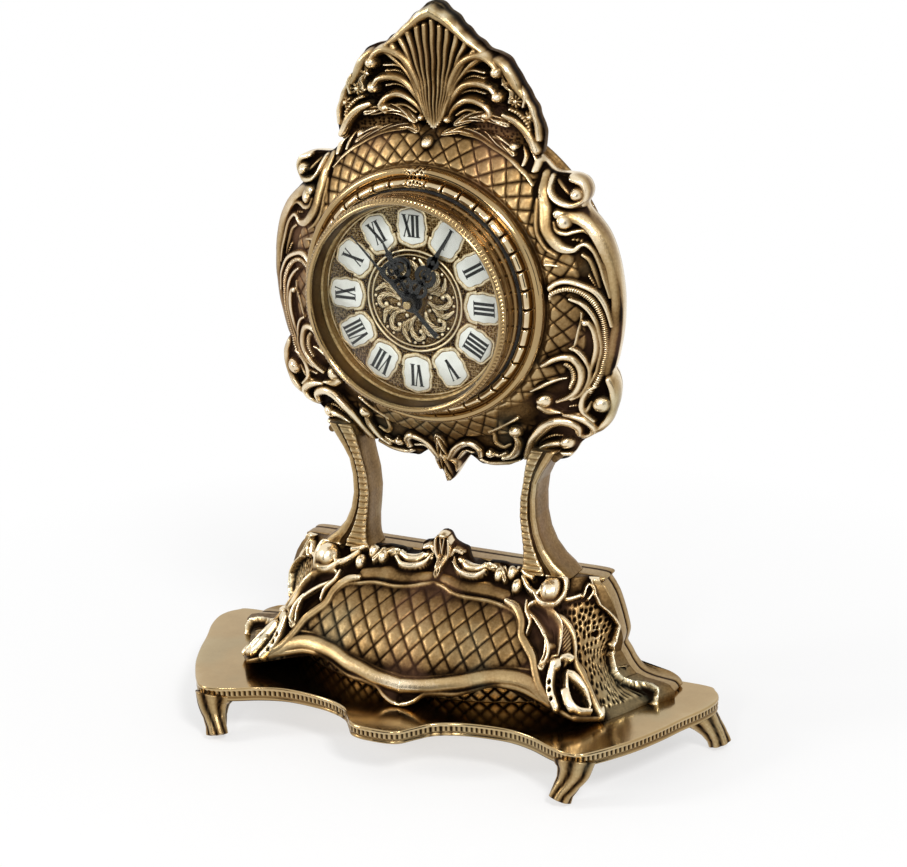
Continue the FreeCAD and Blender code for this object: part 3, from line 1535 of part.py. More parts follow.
lamination = value("stator_thickness")
stator_y = layer_third + wheel_gap * 1.5
rotor_x, rotor_z = rotor_spot
stator_hole = value("magnet_radius") + wheel_gap
stator_right = rotor_x + stator_hole + value("stator_bridge")
stator_low = rotor_z - stator_hole - value("stator_bridge")
stator_high = value(inner_half) - value("seat_clearance")
stator_left = -value(inner_half) + value("case_corner")
coil_length = value("coil_length")
coil_radius = value("coil_radius")
coil_left = stator_left + value("stator_bridge")
coil_right = coil_left + coil_length
coil_z = stator_high - value("stator_bridge") - coil_radius
coil_y = stator_y + lamination / 2


def edges(left, right, low, high):
    return [(left, low), (right, low), (right, high), (left, high)]


window = edges(coil_left, coil_right, coil_z - coil_radius - wheel_gap, coil_z + coil_radius)
stator = flat_piece(edges(stator_left, stator_right, stator_low, stator_high), stator_y, lamination)
stator = stator.cut([
    flat_piece(window, stator_y, lamination),
    rod(Vector(rotor_x, stator_y, rotor_z), alongY, stator_hole, lamination),
])
add_feature("stator", one_solid(stator), z=dial_z)
core_half = value("core_half")
core_y = (coil_y - core_half, coil_y + core_half)
core = block(coil_left, coil_right, *core_y, coil_z - core_half, coil_z + core_half)
add_feature("coil_core", core, z=dial_z)


def bobbin_disc(start, end, radius):
    return rod(Vector(start, coil_y, coil_z), acrossX, radius, end - start)


flange = value("bobbin_wall")
bobbin_tube = bobbin_disc(coil_left, coil_right, coil_radius / 2)
bobbin = bobbin_tube.fuse([
    bobbin_disc(coil_left, coil_left + flange, coil_radius),
    bobbin_disc(coil_right - flange, coil_right, coil_radius),
])
add_feature("coil_bobbin", one_solid(bobbin.cut(core)), z=dial_z)
winding = bobbin_disc(coil_left + flange, coil_right - flange, coil_radius * 0.9)
add_feature("coil_winding", winding.cut(bobbin_tube), z=dial_z)

board_left, board_right = "board_left", "case_half-case_wall"
board_low, board_high = "board_low", "case_half-case_wall-case_corner"
board_front = "(%s+board_gap)" % plate_back
board = new_body("circuit_board", z="dial_height")
board_edge = rectangle(board_left, board_right, board_low, board_high)
add_pad(board, board_front, board_front + "+board_thickness", [board_edge])
crystal = document.addObject("Part::Cylinder", "quartz_crystal")
crystal.Label = "quartz_crystal"
crystal.setExpression("Radius", "Sizes.crystal_radius")
crystal.setExpression("Height", "Sizes.crystal_length")
crystal.setExpression("Placement.Base.x", bound("board_left+crystal_radius*3"))
crystal.setExpression("Placement.Base.y", bound(board_front + "+board_thickness+crystal_radius"))
crystal.setExpression("Placement.Base.z", bound("dial_height+board_low+crystal_radius*3"))
chip = document.addObject("Part::Box", "control_chip")
chip.Label = "control_chip"
chip.setExpression("Length", "Sizes.chip_width")
chip.setExpression("Width", "Sizes.board_thickness")
chip.setExpression("Height", "Sizes.chip_width")
chip.setExpression("Placement.Base.x", bound("board_left+crystal_radius*3+chip_width"))
chip.setExpression("Placement.Base.y", bound(board_front + "+board_thickness"))
chip.setExpression("Placement.Base.z", bound("dial_height+board_low+chip_width"))

battery_y = case_front + "+case_wall+battery_radius+battery_gap"
battery = document.addObject("Part::Cylinder", "battery")
battery.Label = "battery"
battery.setExpression("Radius", "Sizes.battery_radius")
battery.setExpression("Height", "Sizes.battery_length")
battery.Placement.Rotation = FreeCAD.Rotation(alongY, 90)
battery.setExpression("Placement.Base.x", "-Sizes.battery_length/2")
battery.setExpression("Placement.Base.y", bound(battery_y))
battery.setExpression("Placement.Base.z", "Sizes.dial_height-Sizes.battery_drop")


def contact(label, side):
    """Spring strip between one end of the battery and the wall of the case."""
    inner = value("battery_length") / 2
    outer = value(inner_half)
    gap = value("seat_clearance")
    y, z = value(battery_y), -value("battery_drop")
    wide, high = value("contact_width") / 2, value("contact_height") / 2
    strip = block(inner + gap, outer - gap, y - wide, y + wide, z - high, z + high)
    add_feature(label, strip if side > 0 else mirrored(strip), z=dial_z)


contact("battery_contact_plus", 1)
contact("battery_contact_minus", -1)

# ---------------------------------------------------------------- screws

screw_set("base_screws", base_screw_places, upZ)
screw_set("column_screws", column_screw_places, upZ)
screw_set("head_screws", head_screw_places, -alongY)
screw_set("bowl_screws", bowl_screw_places, -alongY)
screw_set("pedestal_screws", case_screw_places, -alongY)

# ---------------------------------------------------------------- test and write

document.recompute()
failed = [item.Label for item in document.Objects if {"Invalid", "Error"} & set(item.State)]
if failed:
    raise RuntimeError("not computed: %s" % ", ".join(failed))
sub_parts = []
for item in document.Objects:
    whole = item.TypeId in ("PartDesign::Body", "Part::Feature", "Part::Cylinder", "Part::Box")
    if whole:
        sub_parts.append(item)
for item in sub_parts:
    if item.Shape.isNull() or not item.Shape.isValid() or not item.Shape.Solids:
        raise RuntimeError("%s has no sound solid" % item.Label)
os.makedirs("parts", exist_ok=True)
for item in sub_parts:
    item.Shape.exportStep("parts/%s.step" % item.Label)
print("%d sub-parts written" % len(sub_parts))
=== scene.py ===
import json
import math

import bmesh
import bpy
import numpy as np
from mathutils import Matrix, Vector


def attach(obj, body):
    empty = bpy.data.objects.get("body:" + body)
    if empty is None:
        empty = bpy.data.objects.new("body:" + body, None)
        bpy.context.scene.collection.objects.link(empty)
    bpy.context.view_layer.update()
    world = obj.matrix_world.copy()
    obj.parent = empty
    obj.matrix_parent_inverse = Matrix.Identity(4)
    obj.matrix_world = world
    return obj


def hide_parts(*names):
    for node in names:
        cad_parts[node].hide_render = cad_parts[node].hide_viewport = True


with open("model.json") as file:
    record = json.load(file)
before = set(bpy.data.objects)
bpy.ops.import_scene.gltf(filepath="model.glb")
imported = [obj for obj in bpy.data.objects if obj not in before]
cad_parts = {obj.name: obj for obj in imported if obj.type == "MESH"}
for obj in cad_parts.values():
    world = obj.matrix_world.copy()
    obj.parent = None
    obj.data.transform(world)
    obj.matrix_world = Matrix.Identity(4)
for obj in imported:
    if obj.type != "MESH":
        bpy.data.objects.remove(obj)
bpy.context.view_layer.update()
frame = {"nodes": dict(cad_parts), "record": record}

print("frame loaded")

dialHeight = 185.3  # floor to the middle of the dial, in mm as every length below
rng = np.random.default_rng(11)


# materials

def newMaterial(name):
    material = bpy.data.materials.new(name)
    material.use_nodes = True
    tree = material.node_tree
    return material, tree, tree.nodes["Principled BSDF"]


def setInputs(node, **values):
    for key, value in values.items():
        node.inputs[key.replace("_", " ")].default_value = value


def addNode(tree, kind, **values):
    node = tree.nodes.new(kind)
    for key, value in values.items():
        if hasattr(node, key):
            setattr(node, key, value)
        else:
            setInputs(node, **{key: value})
    return node


def objectPoint(tree):
    return addNode(tree, "ShaderNodeTexCoord").outputs["Object"]


def noiseOf(tree, scale, detail=4, roughness=0.55):
    noise = addNode(tree, "ShaderNodeTexNoise", Scale=scale, Detail=detail, Roughness=roughness)
    tree.links.new(objectPoint(tree), noise.inputs["Vector"])
    return noise.outputs["Fac"]


def rampOf(tree, source, stops):
    ramp = addNode(tree, "ShaderNodeValToRGB")
    band = ramp.color_ramp
    while len(band.elements) < len(stops):
        band.elements.new(0.5)
    for element, (place, colour) in zip(band.elements, stops):
        element.position = place
        element.color = (*colour, 1)
    tree.links.new(source, ramp.inputs["Fac"])
    return ramp.outputs["Color"]


def mathOf(tree, kind, first, second, clamp=False):
    node = addNode(tree, "ShaderNodeMath", operation=kind, use_clamp=clamp)
    for socket, value in zip(node.inputs, (first, second)):
        if isinstance(value, (int, float)):
            socket.default_value = value
        else:
            tree.links.new(value, socket)
    return node.outputs[0]


def mixOf(tree, amount, first, second):
    node = addNode(tree, "ShaderNodeMix", data_type="RGBA")
    tree.links.new(amount, node.inputs[0])
    tree.links.new(first, node.inputs[6])
    node.inputs[7].default_value = (*second, 1)
    return node.outputs[2]


def bumpOf(tree, shader, source, strength, distance):
    bump = addNode(tree, "ShaderNodeBump", Strength=strength, Distance=distance)
    tree.links.new(source, bump.inputs["Height"])
    tree.links.new(bump.outputs["Normal"], shader.inputs["Normal"])


def mixSurface(tree, share, first, second):
    both = addNode(tree, "ShaderNodeMixShader")
    for source, socket in zip((share, first.outputs[0], second.outputs[0]), both.inputs):
        tree.links.new(source, socket)
    tree.links.new(both.outputs[0], tree.nodes["Material Output"].inputs["Surface"])


def grey(value):
    return (value,) * 3


# the low tones are dark patina with painted shade in hollows; the high tones are wear with painted highlights
# on raised parts
brassRamp = [  # colours by shade: pit, hollow, body, worn, edge
    (0.12, (0.008, 0.004, 0.002)), (0.32, (0.050, 0.026, 0.009)), (0.50, (0.222, 0.134, 0.052)),
    (0.70, (0.46, 0.325, 0.158)), (0.95, (0.90, 0.76, 0.53)),
]
patina = {
    "green": (0.33, 0.37, 0.25), "copper": (0.34, 0.17, 0.10), "patchScale": 26, "cloudScale": 70,
    "grainScale": 900, "cloudShare": 0.42, "grainShare": 0.22, "flatShade": 0.62, "grainBump": 0.25,
    "grainHeight": 0.0004,
}


def brassMaterial(name, carved=True, tarnish=0.5, gloss=0.26, grain=1.0, depth=0.0):
    material, tree, shader = newMaterial(name)
    cloud, fine = noiseOf(tree, patina["cloudScale"], 5, 0.6), noiseOf(tree, patina["grainScale"], 3, 0.6)
    shade = patina["flatShade"]
    if carved:
        # the carved shade: patina and wear, with painted cavity shade and painted highlights
        shade = addNode(tree, "ShaderNodeAttribute", attribute_name="patinaAndShade").outputs["Fac"]
    drift = mathOf(tree, "MULTIPLY", mathOf(tree, "SUBTRACT", cloud, 0.5), patina["cloudShare"] * tarnish)
    speck = mathOf(tree, "MULTIPLY", mathOf(tree, "SUBTRACT", fine, 0.5), patina["grainShare"] * grain)
    level = mathOf(tree, "ADD", shade, mathOf(tree, "ADD", drift, speck), clamp=True)
    level = mathOf(tree, "SUBTRACT", level, depth, clamp=True)
    colour = rampOf(tree, level, brassRamp)
    patch = noiseOf(tree, patina["patchScale"], 3, 0.5)
    greenPlace = rampOf(tree, patch, [(0.54, grey(0)), (0.66, grey(0.75))])
    copperPlace = rampOf(tree, patch, [(0.30, grey(0.45)), (0.44, grey(0))])
    greenPlace = mathOf(tree, "MULTIPLY", greenPlace, mathOf(tree, "MULTIPLY", level, tarnish))
    colour = mixOf(tree, greenPlace, colour, patina["green"])
    colour = mixOf(tree, mathOf(tree, "MULTIPLY", copperPlace, tarnish), colour, patina["copper"])
    tree.links.new(colour, shader.inputs["Base Color"])
    rough = rampOf(tree, level, [(0.2, grey(0.75)), (0.5, grey(gloss + 0.14)), (0.8, grey(gloss))])
    tree.links.new(rough, shader.inputs["Roughness"])
    setInputs(shader, Metallic=1)
    bumpOf(tree, shader, fine, patina["grainBump"] * grain, patina["grainHeight"])
    return material


def plainMaterial(name, colour, second, rough, metal=0, coat=0, scale=300):
    material, tree, shader = newMaterial(name)
    noise = noiseOf(tree, scale)
    spread = rampOf(tree, noise, [(0.35, colour), (0.65, second)])
    tree.links.new(spread, shader.inputs["Base Color"])
    setInputs(shader, Roughness=rough, Metallic=metal, Coat_Weight=coat)
    bumpOf(tree, shader, noise, 0.1, 0.0002)
    return material


def glassMaterial():
    material, tree, shader = newMaterial("clearGlass")
    setInputs(shader, Base_Color=(1, 1, 1, 1), Transmission_Weight=1, IOR=1.45)
    rough = rampOf(tree, noiseOf(tree, 60), [(0.3, grey(0)), (0.9, grey(0.02))])
    tree.links.new(rough, shader.inputs["Roughness"])
    clear = addNode(tree, "ShaderNodeBsdfTransparent", Color=(0.97, 0.98, 0.97, 1))
    gloss = addNode(tree, "ShaderNodeBsdfGlossy", Roughness=0.03, Color=(1, 1, 1, 1))
    facing = addNode(tree, "ShaderNodeFresnel", IOR=1.3)
    mixSurface(tree, mathOf(tree, "MULTIPLY", facing.outputs[0], 0.3), clear, gloss)
    return material


brassLooks = {
    "castBrass": {},
    "castBrassPlain": dict(carved=False, tarnish=0.9, gloss=0.3),
    "backBrass": dict(carved=False, tarnish=1.0, gloss=0.4, grain=1.4, depth=0.16),
    "polishedBrass": dict(tarnish=0.25, gloss=0.05, grain=0.3),
    "polishedPlain": dict(carved=False, tarnish=0.25, gloss=0.12, grain=0.3, depth=-0.1),
    "plateBrass": dict(tarnish=0.3, gloss=0.09, grain=0.15, depth=-0.06),
    "dialBrass": dict(tarnish=0.5, gloss=0.3, grain=2.2),
    "dialPlain": dict(carved=False, tarnish=0.35, gloss=0.34, grain=2.4),
}
plainLooks = {  # two tones, roughness, metal, coat, scale of the grain
    "enamel": ((0.86, 0.85, 0.80), (0.93, 0.92, 0.88), 0.12, 0, 0.6),
    "ink": (grey(0.003), grey(0.01), 0.4),
    "blackSteel": (grey(0.003), (0.008, 0.007, 0.007), 0.28),
    "brightSteel": ((0.55, 0.55, 0.54), (0.70, 0.70, 0.69), 0.3, 1),
    "whitePlastic": ((0.72, 0.71, 0.67), (0.80, 0.79, 0.75), 0.45),
    "blackPlastic": ((0.02, 0.02, 0.021), (0.035, 0.035, 0.036), 0.42),
    "rubber": ((0.008, 0.007, 0.006), (0.016, 0.014, 0.012), 0.8),
    "batterySleeve": ((0.02, 0.10, 0.28), (0.03, 0.13, 0.33), 0.3),
    "copperWire": ((0.55, 0.23, 0.09), (0.68, 0.31, 0.14), 0.3, 1, 0, 2000),
    "laminate": ((0.03, 0.16, 0.06), (0.05, 0.21, 0.09), 0.4),
}
finishes = {name: brassMaterial(name, **look) for name, look in brassLooks.items()}
finishes.update({name: plainMaterial(name, *look) for name, look in plainLooks.items()})
finishes["glass"] = glassMaterial()
slotFinish = {
    "cast_brass": "castBrassPlain", "polished_brass": "polishedPlain", "dial_brass": "dialPlain",
    "clear_glass": "glass", "white_enamel": "enamel", "black_steel": "blackSteel",
    "bright_steel": "brightSteel", "movement_plastic": "blackPlastic", "wheel_plastic": "whitePlastic",
    "rubber": "rubber", "battery_sleeve": "batterySleeve", "copper_wire": "copperWire",
    "board_laminate": "laminate",
}
# these parts take the back brass: a darker copy of the brass with more tarnish
backBrassParts = ("hex_nut", "head_screws", "column_screws")
for row in frame["record"]["subparts"]:
    node = frame["nodes"][row["node"]]
    look = "backBrass" if row["node"] in backBrassParts else slotFinish[row["material_slot"]]
    node.data.materials.clear()
    node.data.materials.append(finishes[look])
print("materials ready")


# carving tools

def spline(points, steps=10):
    p = np.array(points, float)
    ends = np.vstack([2 * p[0] - p[1], p, 2 * p[-1] - p[-2]])
    t = np.linspace(0, 1, steps, endpoint=False)[:, None]
    rows = []
    for a, b, c, d in zip(ends[:-3], ends[1:-2], ends[2:-1], ends[3:]):
        rows.append(0.5 * (2 * b + (c - a) * t + (2 * a - 5 * b + 4 * c - d) * t ** 2
                           + (3 * b - a - 3 * c + d) * t ** 3))
    return np.vstack(rows + [p[-1:]])


def along(values, share):
    values = np.atleast_1d(np.array(values, float))
    if len(values) == 1:
        return np.full_like(share, values[0])
    return np.interp(share, np.linspace(0, 1, len(values)), values)


def runOf(line):
    return np.concatenate([[0], np.cumsum(np.hypot(*np.diff(line, axis=0).T))])


def onLine(line, u):
    run = runOf(line)
    return np.interp(u * run[-1], run, line[:, 0]), np.interp(u * run[-1], run, line[:, 1])


def mirrored(half):  # a right half, from the top to the bottom, as a closed outline
    return half + [(-a, b) for a, b in reversed(half[1:-1])] + half[:1]


def unit(vectors):
    return vectors / np.maximum(np.linalg.norm(vectors, axis=1), 1e-9)[:, None]


def blend(one, two, amount):
    return one + (two - one) * amount[:, None]


# carved lines, with half widths and heights along their path, and round knobs
def stroke(path, width, lift, form="round", pitch=1.5, steps=10):
    return dict(path=path, width=width, lift=lift, form=form, pitch=pitch, steps=steps)


def knob(x, z, radius, lift, petals=0):
    return dict(path=[(x, z)], radius=radius, lift=lift, petals=petals)


def moved(strokes, place):
    return [dict(item, path=[place(a, b) for a, b in item["path"]]) for item in strokes]


def bothSides(strokes):
    return strokes + moved(strokes, lambda a, b: (-a, b))


def strokeCut(x, z, path, width, lift, form, pitch, steps):
    line = spline(path, steps)
    widest = float(np.max(width))
    low, high = line.min(0) - widest, line.max(0) + widest
    near = np.nonzero((x > low[0]) & (x < high[0]) & (z > low[1]) & (z < high[1]))[0]
    step, reach = np.diff(line, axis=0), runOf(line)
    best, run = np.full(len(near), 1e9), np.zeros(len(near))
    for a, d, size, done in zip(line[:-1], step, np.hypot(*step.T), reach):
        dx, dz = x[near] - a[0], z[near] - a[1]
        k = np.clip((dx * d[0] + dz * d[1]) / max(size ** 2, 1e-9), 0, 1)
        gap = np.hypot(dx - k * d[0], dz - k * d[1])
        closer = gap < best
        best = np.where(closer, gap, best)
        run = np.where(closer, done + k * size, run)
    e = best / along(width, run / reach[-1])  # 0 on the middle of the stroke, 1 at its edge
    inside = e < 1
    near, e, run = near[inside], e[inside], run[inside]
    if form == "dig":
        return near, np.minimum(1, (1 - e) / 0.35)
    shape = np.sqrt(1 - e ** 2)
    if form == "fluted":
        shape = np.minimum(1, (1 - e) / 0.16) ** 0.6 * (0.62 + 0.38 * np.cos(np.pi * (e - 0.78) / 0.78))
    elif form == "milled":
        shape = shape * (1 - 0.5 * (1 - np.abs(np.sin(np.pi * run / pitch))) ** 1.6)
    elif form == "beads":
        across = ((run / pitch) % 1 - 0.5) * 2
        shape = np.sqrt(np.clip(1 - e ** 2 - across ** 2 * 0.9, 0, 1))
    elif form == "leaf":
        shape = shape * (0.78 + 0.22 * np.cos(np.pi * (e * 3.2 - run / pitch * 0.7)))
    elif form == "band":
        shape = np.minimum(1, (1 - e) / 0.45) ** 0.55 * (0.9 + 0.1 * np.cos(np.pi * e))
    return near, along(lift, run / reach[-1]) * shape


def knobCut(x, z, path, radius, lift, petals):
    dx, dz = x - path[0][0], z - path[0][1]
    gap = np.hypot(dx, dz) / radius
    near = np.nonzero(gap < 1)[0]
    gap = gap[near]
    shape = np.sqrt(1 - gap ** 2)
    if petals:
        button = 0.32
        leaf = np.abs(np.cos(np.arctan2(dz[near], dx[near]) * petals / 2)) ** 0.5
        shape = np.where(gap < button, 0.75 + 0.25 * np.sqrt(np.clip(1 - (gap / button) ** 2, 0, 1)),
                         leaf * (0.35 + 0.4 * np.sin(np.pi * gap)) * (gap < 0.97))
    return near, lift * shape


def carveAll(x, z, height, strokes, wobble=0.12):
    # a slight waver, as in hand-cut patterns
    x, z = x + wobble * np.sin(0.53 * z + 0.21 * x), z + wobble * np.sin(0.44 * x - 0.17 * z)
    for item in strokes:
        near, lifted = (knobCut if "radius" in item else strokeCut)(x, z, **item)
        if item.get("form") == "dig":  # flattens what is there to one level
            height[near] += (item["lift"] - height[near]) * lifted
        else:
            height[near] = np.maximum(height[near], lifted)
    return height


def pillow(a, b, power=4):
    fa, fb = np.abs((a % 1) - 0.5) * 2, np.abs((b % 1) - 0.5) * 2
    return (1 - fa ** power) * (1 - fb ** power)


pitCells = 64
pitSpots = rng.uniform(-0.32, 0.32, (2, pitCells, pitCells))


def pits(a, z, pitch, size):
    gap = np.full(a.shape, 9.0)
    for da in (-1, 0, 1):
        for dz in (-1, 0, 1):
            ca, cz = np.floor(a / pitch) + da, np.floor(z / pitch) + dz
            i, j = ca.astype(int) % pitCells, cz.astype(int) % pitCells
            ga = a - (ca + 0.5 + pitSpots[0, i, j]) * pitch
            gz = z - (cz + 0.5 + pitSpots[1, i, j]) * pitch
            gap = np.minimum(gap, np.hypot(ga, gz))
    return np.exp(-(gap / size) ** 2)


def polarTrellis(x, z, count, start):
    r = np.maximum(np.hypot(x, z), 1)
    u, v = np.arctan2(z, x) * count / (2 * np.pi), np.log(r / start) * count / (2 * np.pi)
    return pillow(u + v, u - v)


def squareTrellis(x, z, pitch):
    return pillow((x + z) / pitch / 1.414, (x - z) / pitch / 1.414)


def blurred(image, reach, wrap):
    pad = int(reach * 3) + 1
    big = np.pad(image, ((pad, pad), (0, 0)), mode="edge")
    big = np.pad(big, ((0, 0), (pad, pad)), mode="wrap" if wrap else "edge")
    fy, fx = np.fft.fftfreq(big.shape[0])[:, None], np.fft.rfftfreq(big.shape[1])[None, :]
    soft = np.fft.rfft2(big) * np.exp(-2 * (np.pi * reach) ** 2 * (fx ** 2 + fy ** 2))
    return np.fft.irfft2(soft, s=big.shape)[pad:-pad, pad:-pad]


def newObject(name, mesh):
    data = bpy.data.meshes.new(name)
    mesh.to_mesh(data)
    mesh.free()
    item = bpy.data.objects.new(name, data)
    bpy.context.scene.collection.objects.link(item)
    return item


def finishPiece(name, mesh, finish, body="case", replaced=(), smooth=True):
    piece = newObject(name, mesh)
    for face in piece.data.polygons:
        face.use_smooth = smooth
    piece.data.materials.append(finishes[finish])
    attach(piece, body)
    if replaced:
        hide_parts(*replaced)
    return piece


def gridPiece(name, columns, rows, place, finish="castBrass", replaced=(), wrap=True,
              reach=3.0, gain=0.42, level=0.5):
    mesh = bmesh.new()
    bmesh.ops.create_grid(mesh, x_segments=columns, y_segments=rows, size=0.5)
    data = bpy.data.meshes.new("grid")
    mesh.to_mesh(data)
    mesh.free()
    spots = np.empty(len(data.vertices) * 3)
    data.vertices.foreach_get("co", spots)
    i = np.rint((spots[0::3] + 0.5) * columns).astype(int)
    j = np.rint((spots[1::3] + 0.5) * rows).astype(int)
    points, height = place(i / columns, j)
    # the shade tells how far each point stands above or below what is near it, and points below zero go
    # darker still; this is partly patina and wear, partly painted cavity shade and painted highlights
    image = np.zeros((rows + 1, columns + 1))
    image[j, i] = height
    near, far = blurred(image, reach, wrap), blurred(image, reach * 3, wrap)
    shade = level + gain * (0.7 * (image - near) + 0.45 * (image - far)) + 0.2 * np.minimum(image, 0)
    data.vertices.foreach_set("co", (points / 1000).ravel())
    layer = data.attributes.new("patinaAndShade", "FLOAT", "POINT")
    layer.data.foreach_set("value", np.clip(shade[j, i], 0, 1))
    mesh = bmesh.new()
    mesh.from_mesh(data)
    bpy.data.meshes.remove(data)
    bmesh.ops.remove_doubles(mesh, verts=mesh.verts, dist=2e-6)
    rims = [edge for edge in mesh.edges if edge.is_boundary]
    if rims:
        bmesh.ops.holes_fill(mesh, edges=rims, sides=0)
    bmesh.ops.recalc_face_normals(mesh, faces=mesh.faces)
    piece = finishPiece(name, mesh, finish, replaced=replaced)
    print(name, len(piece.data.polygons))


def rowTable(*spans):
    part, share = [0], [0.0]
    for index, count in enumerate(spans):
        for step in range(1, count + 1):
            part.append(index)
            share.append(step / count)
    return np.array(part), np.array(share), len(part) - 1


def byPart(k, *values):  # one value for each span of the rows
    return np.select([k == index for index in range(len(values))], [value + 0.0 * k for value in values])


def atDial(x, y, z):
    return np.stack([x, y, dialHeight + z], 1)


# head of the clock: a domed trellis with a scrolled border, carved in one sheet

head = {
    "innerRadius": 51.6, "domeRadius": 54.3, "domeY": 18.4, "bandRadius": 63.5, "outerRadius": 72,
    "outerY": 32, "bulge": 1, "trellisCount": 50, "trellisRise": 1, "wall": 1.6, "rimY": 33, "backY": 41.2,
    "shrink": 0.976, "taper": 2, "stretchFrom": 56, "stretchOver": 18, "sideShade": 3.2, "columns": 980,
    "spans": (86, 10, 1, 1),
    "backProfile": [(66, 40.9), (69.6, 41.1), (70.6, 41.8), (70.6, 42.6), (69.8, 43.2), (68.6, 43.45),
        (64, 43.5), (50, 43.5), (44.6, 43.5), (44.1, 43.1), (44.1, 41.5), (44.5, 40.9), (50, 40.9)],
}


def domeY(r):
    k = (r - head["domeRadius"]) / (head["outerRadius"] - head["domeRadius"])
    k = np.clip(k, -0.2, 1.6)
    return head["domeY"] + (head["outerY"] - head["domeY"]) * k - head["bulge"] * 4 * k * (1 - k)


headOutline = [  # silhouette of the right half, from the top to the bottom, about the dial's middle
    (0, 67.5), (12, 67.4), (24, 65), (36, 61.8), (44.5, 56.4), (50.2, 51.6), (56.2, 51), (60.2, 50.6),
    (63.7, 48.9), (65.5, 45.3), (65, 41.8), (63.6, 39), (65.4, 35.8), (68.7, 32.3), (72.2, 27.8),
    (74.8, 22.3), (76.8, 15.7), (78.1, 8.7), (78.9, 0.7), (78.8, -7.4), (78.1, -14.4), (76.8, -21.4),
    (75.3, -27.4), (74.1, -30.4), (75.6, -33.5), (76.6, -37.5), (76.3, -42.5), (74.8, -47.5), (73.2, -51.5),
    (70.7, -54.5), (67.2, -56.5), (63.2, -59.1), (59.7, -62.1), (57.5, -65.6), (55, -68.6), (51, -70.3),
    (46, -70.5), (38, -71), (31.6, -73.5), (27.6, -75.5), (22.6, -76.7), (17.5, -77), (14.5, -76.8),
    (11.5, -74.8), (9.5, -74), (7.5, -76), (3.5, -81.6), (0, -86.1),
]


def polarReach(outline):
    line = spline(mirrored(outline), 12)
    turn = np.unwrap(np.arctan2(line[:, 1], line[:, 0]))
    reach = np.hypot(line[:, 0], line[:, 1])
    order = np.argsort(turn)
    turn, reach = turn[order], reach[order]

    def read(angle):
        return np.interp(np.mod(angle - turn[0], 2 * np.pi) + turn[0], turn, reach)

    return read


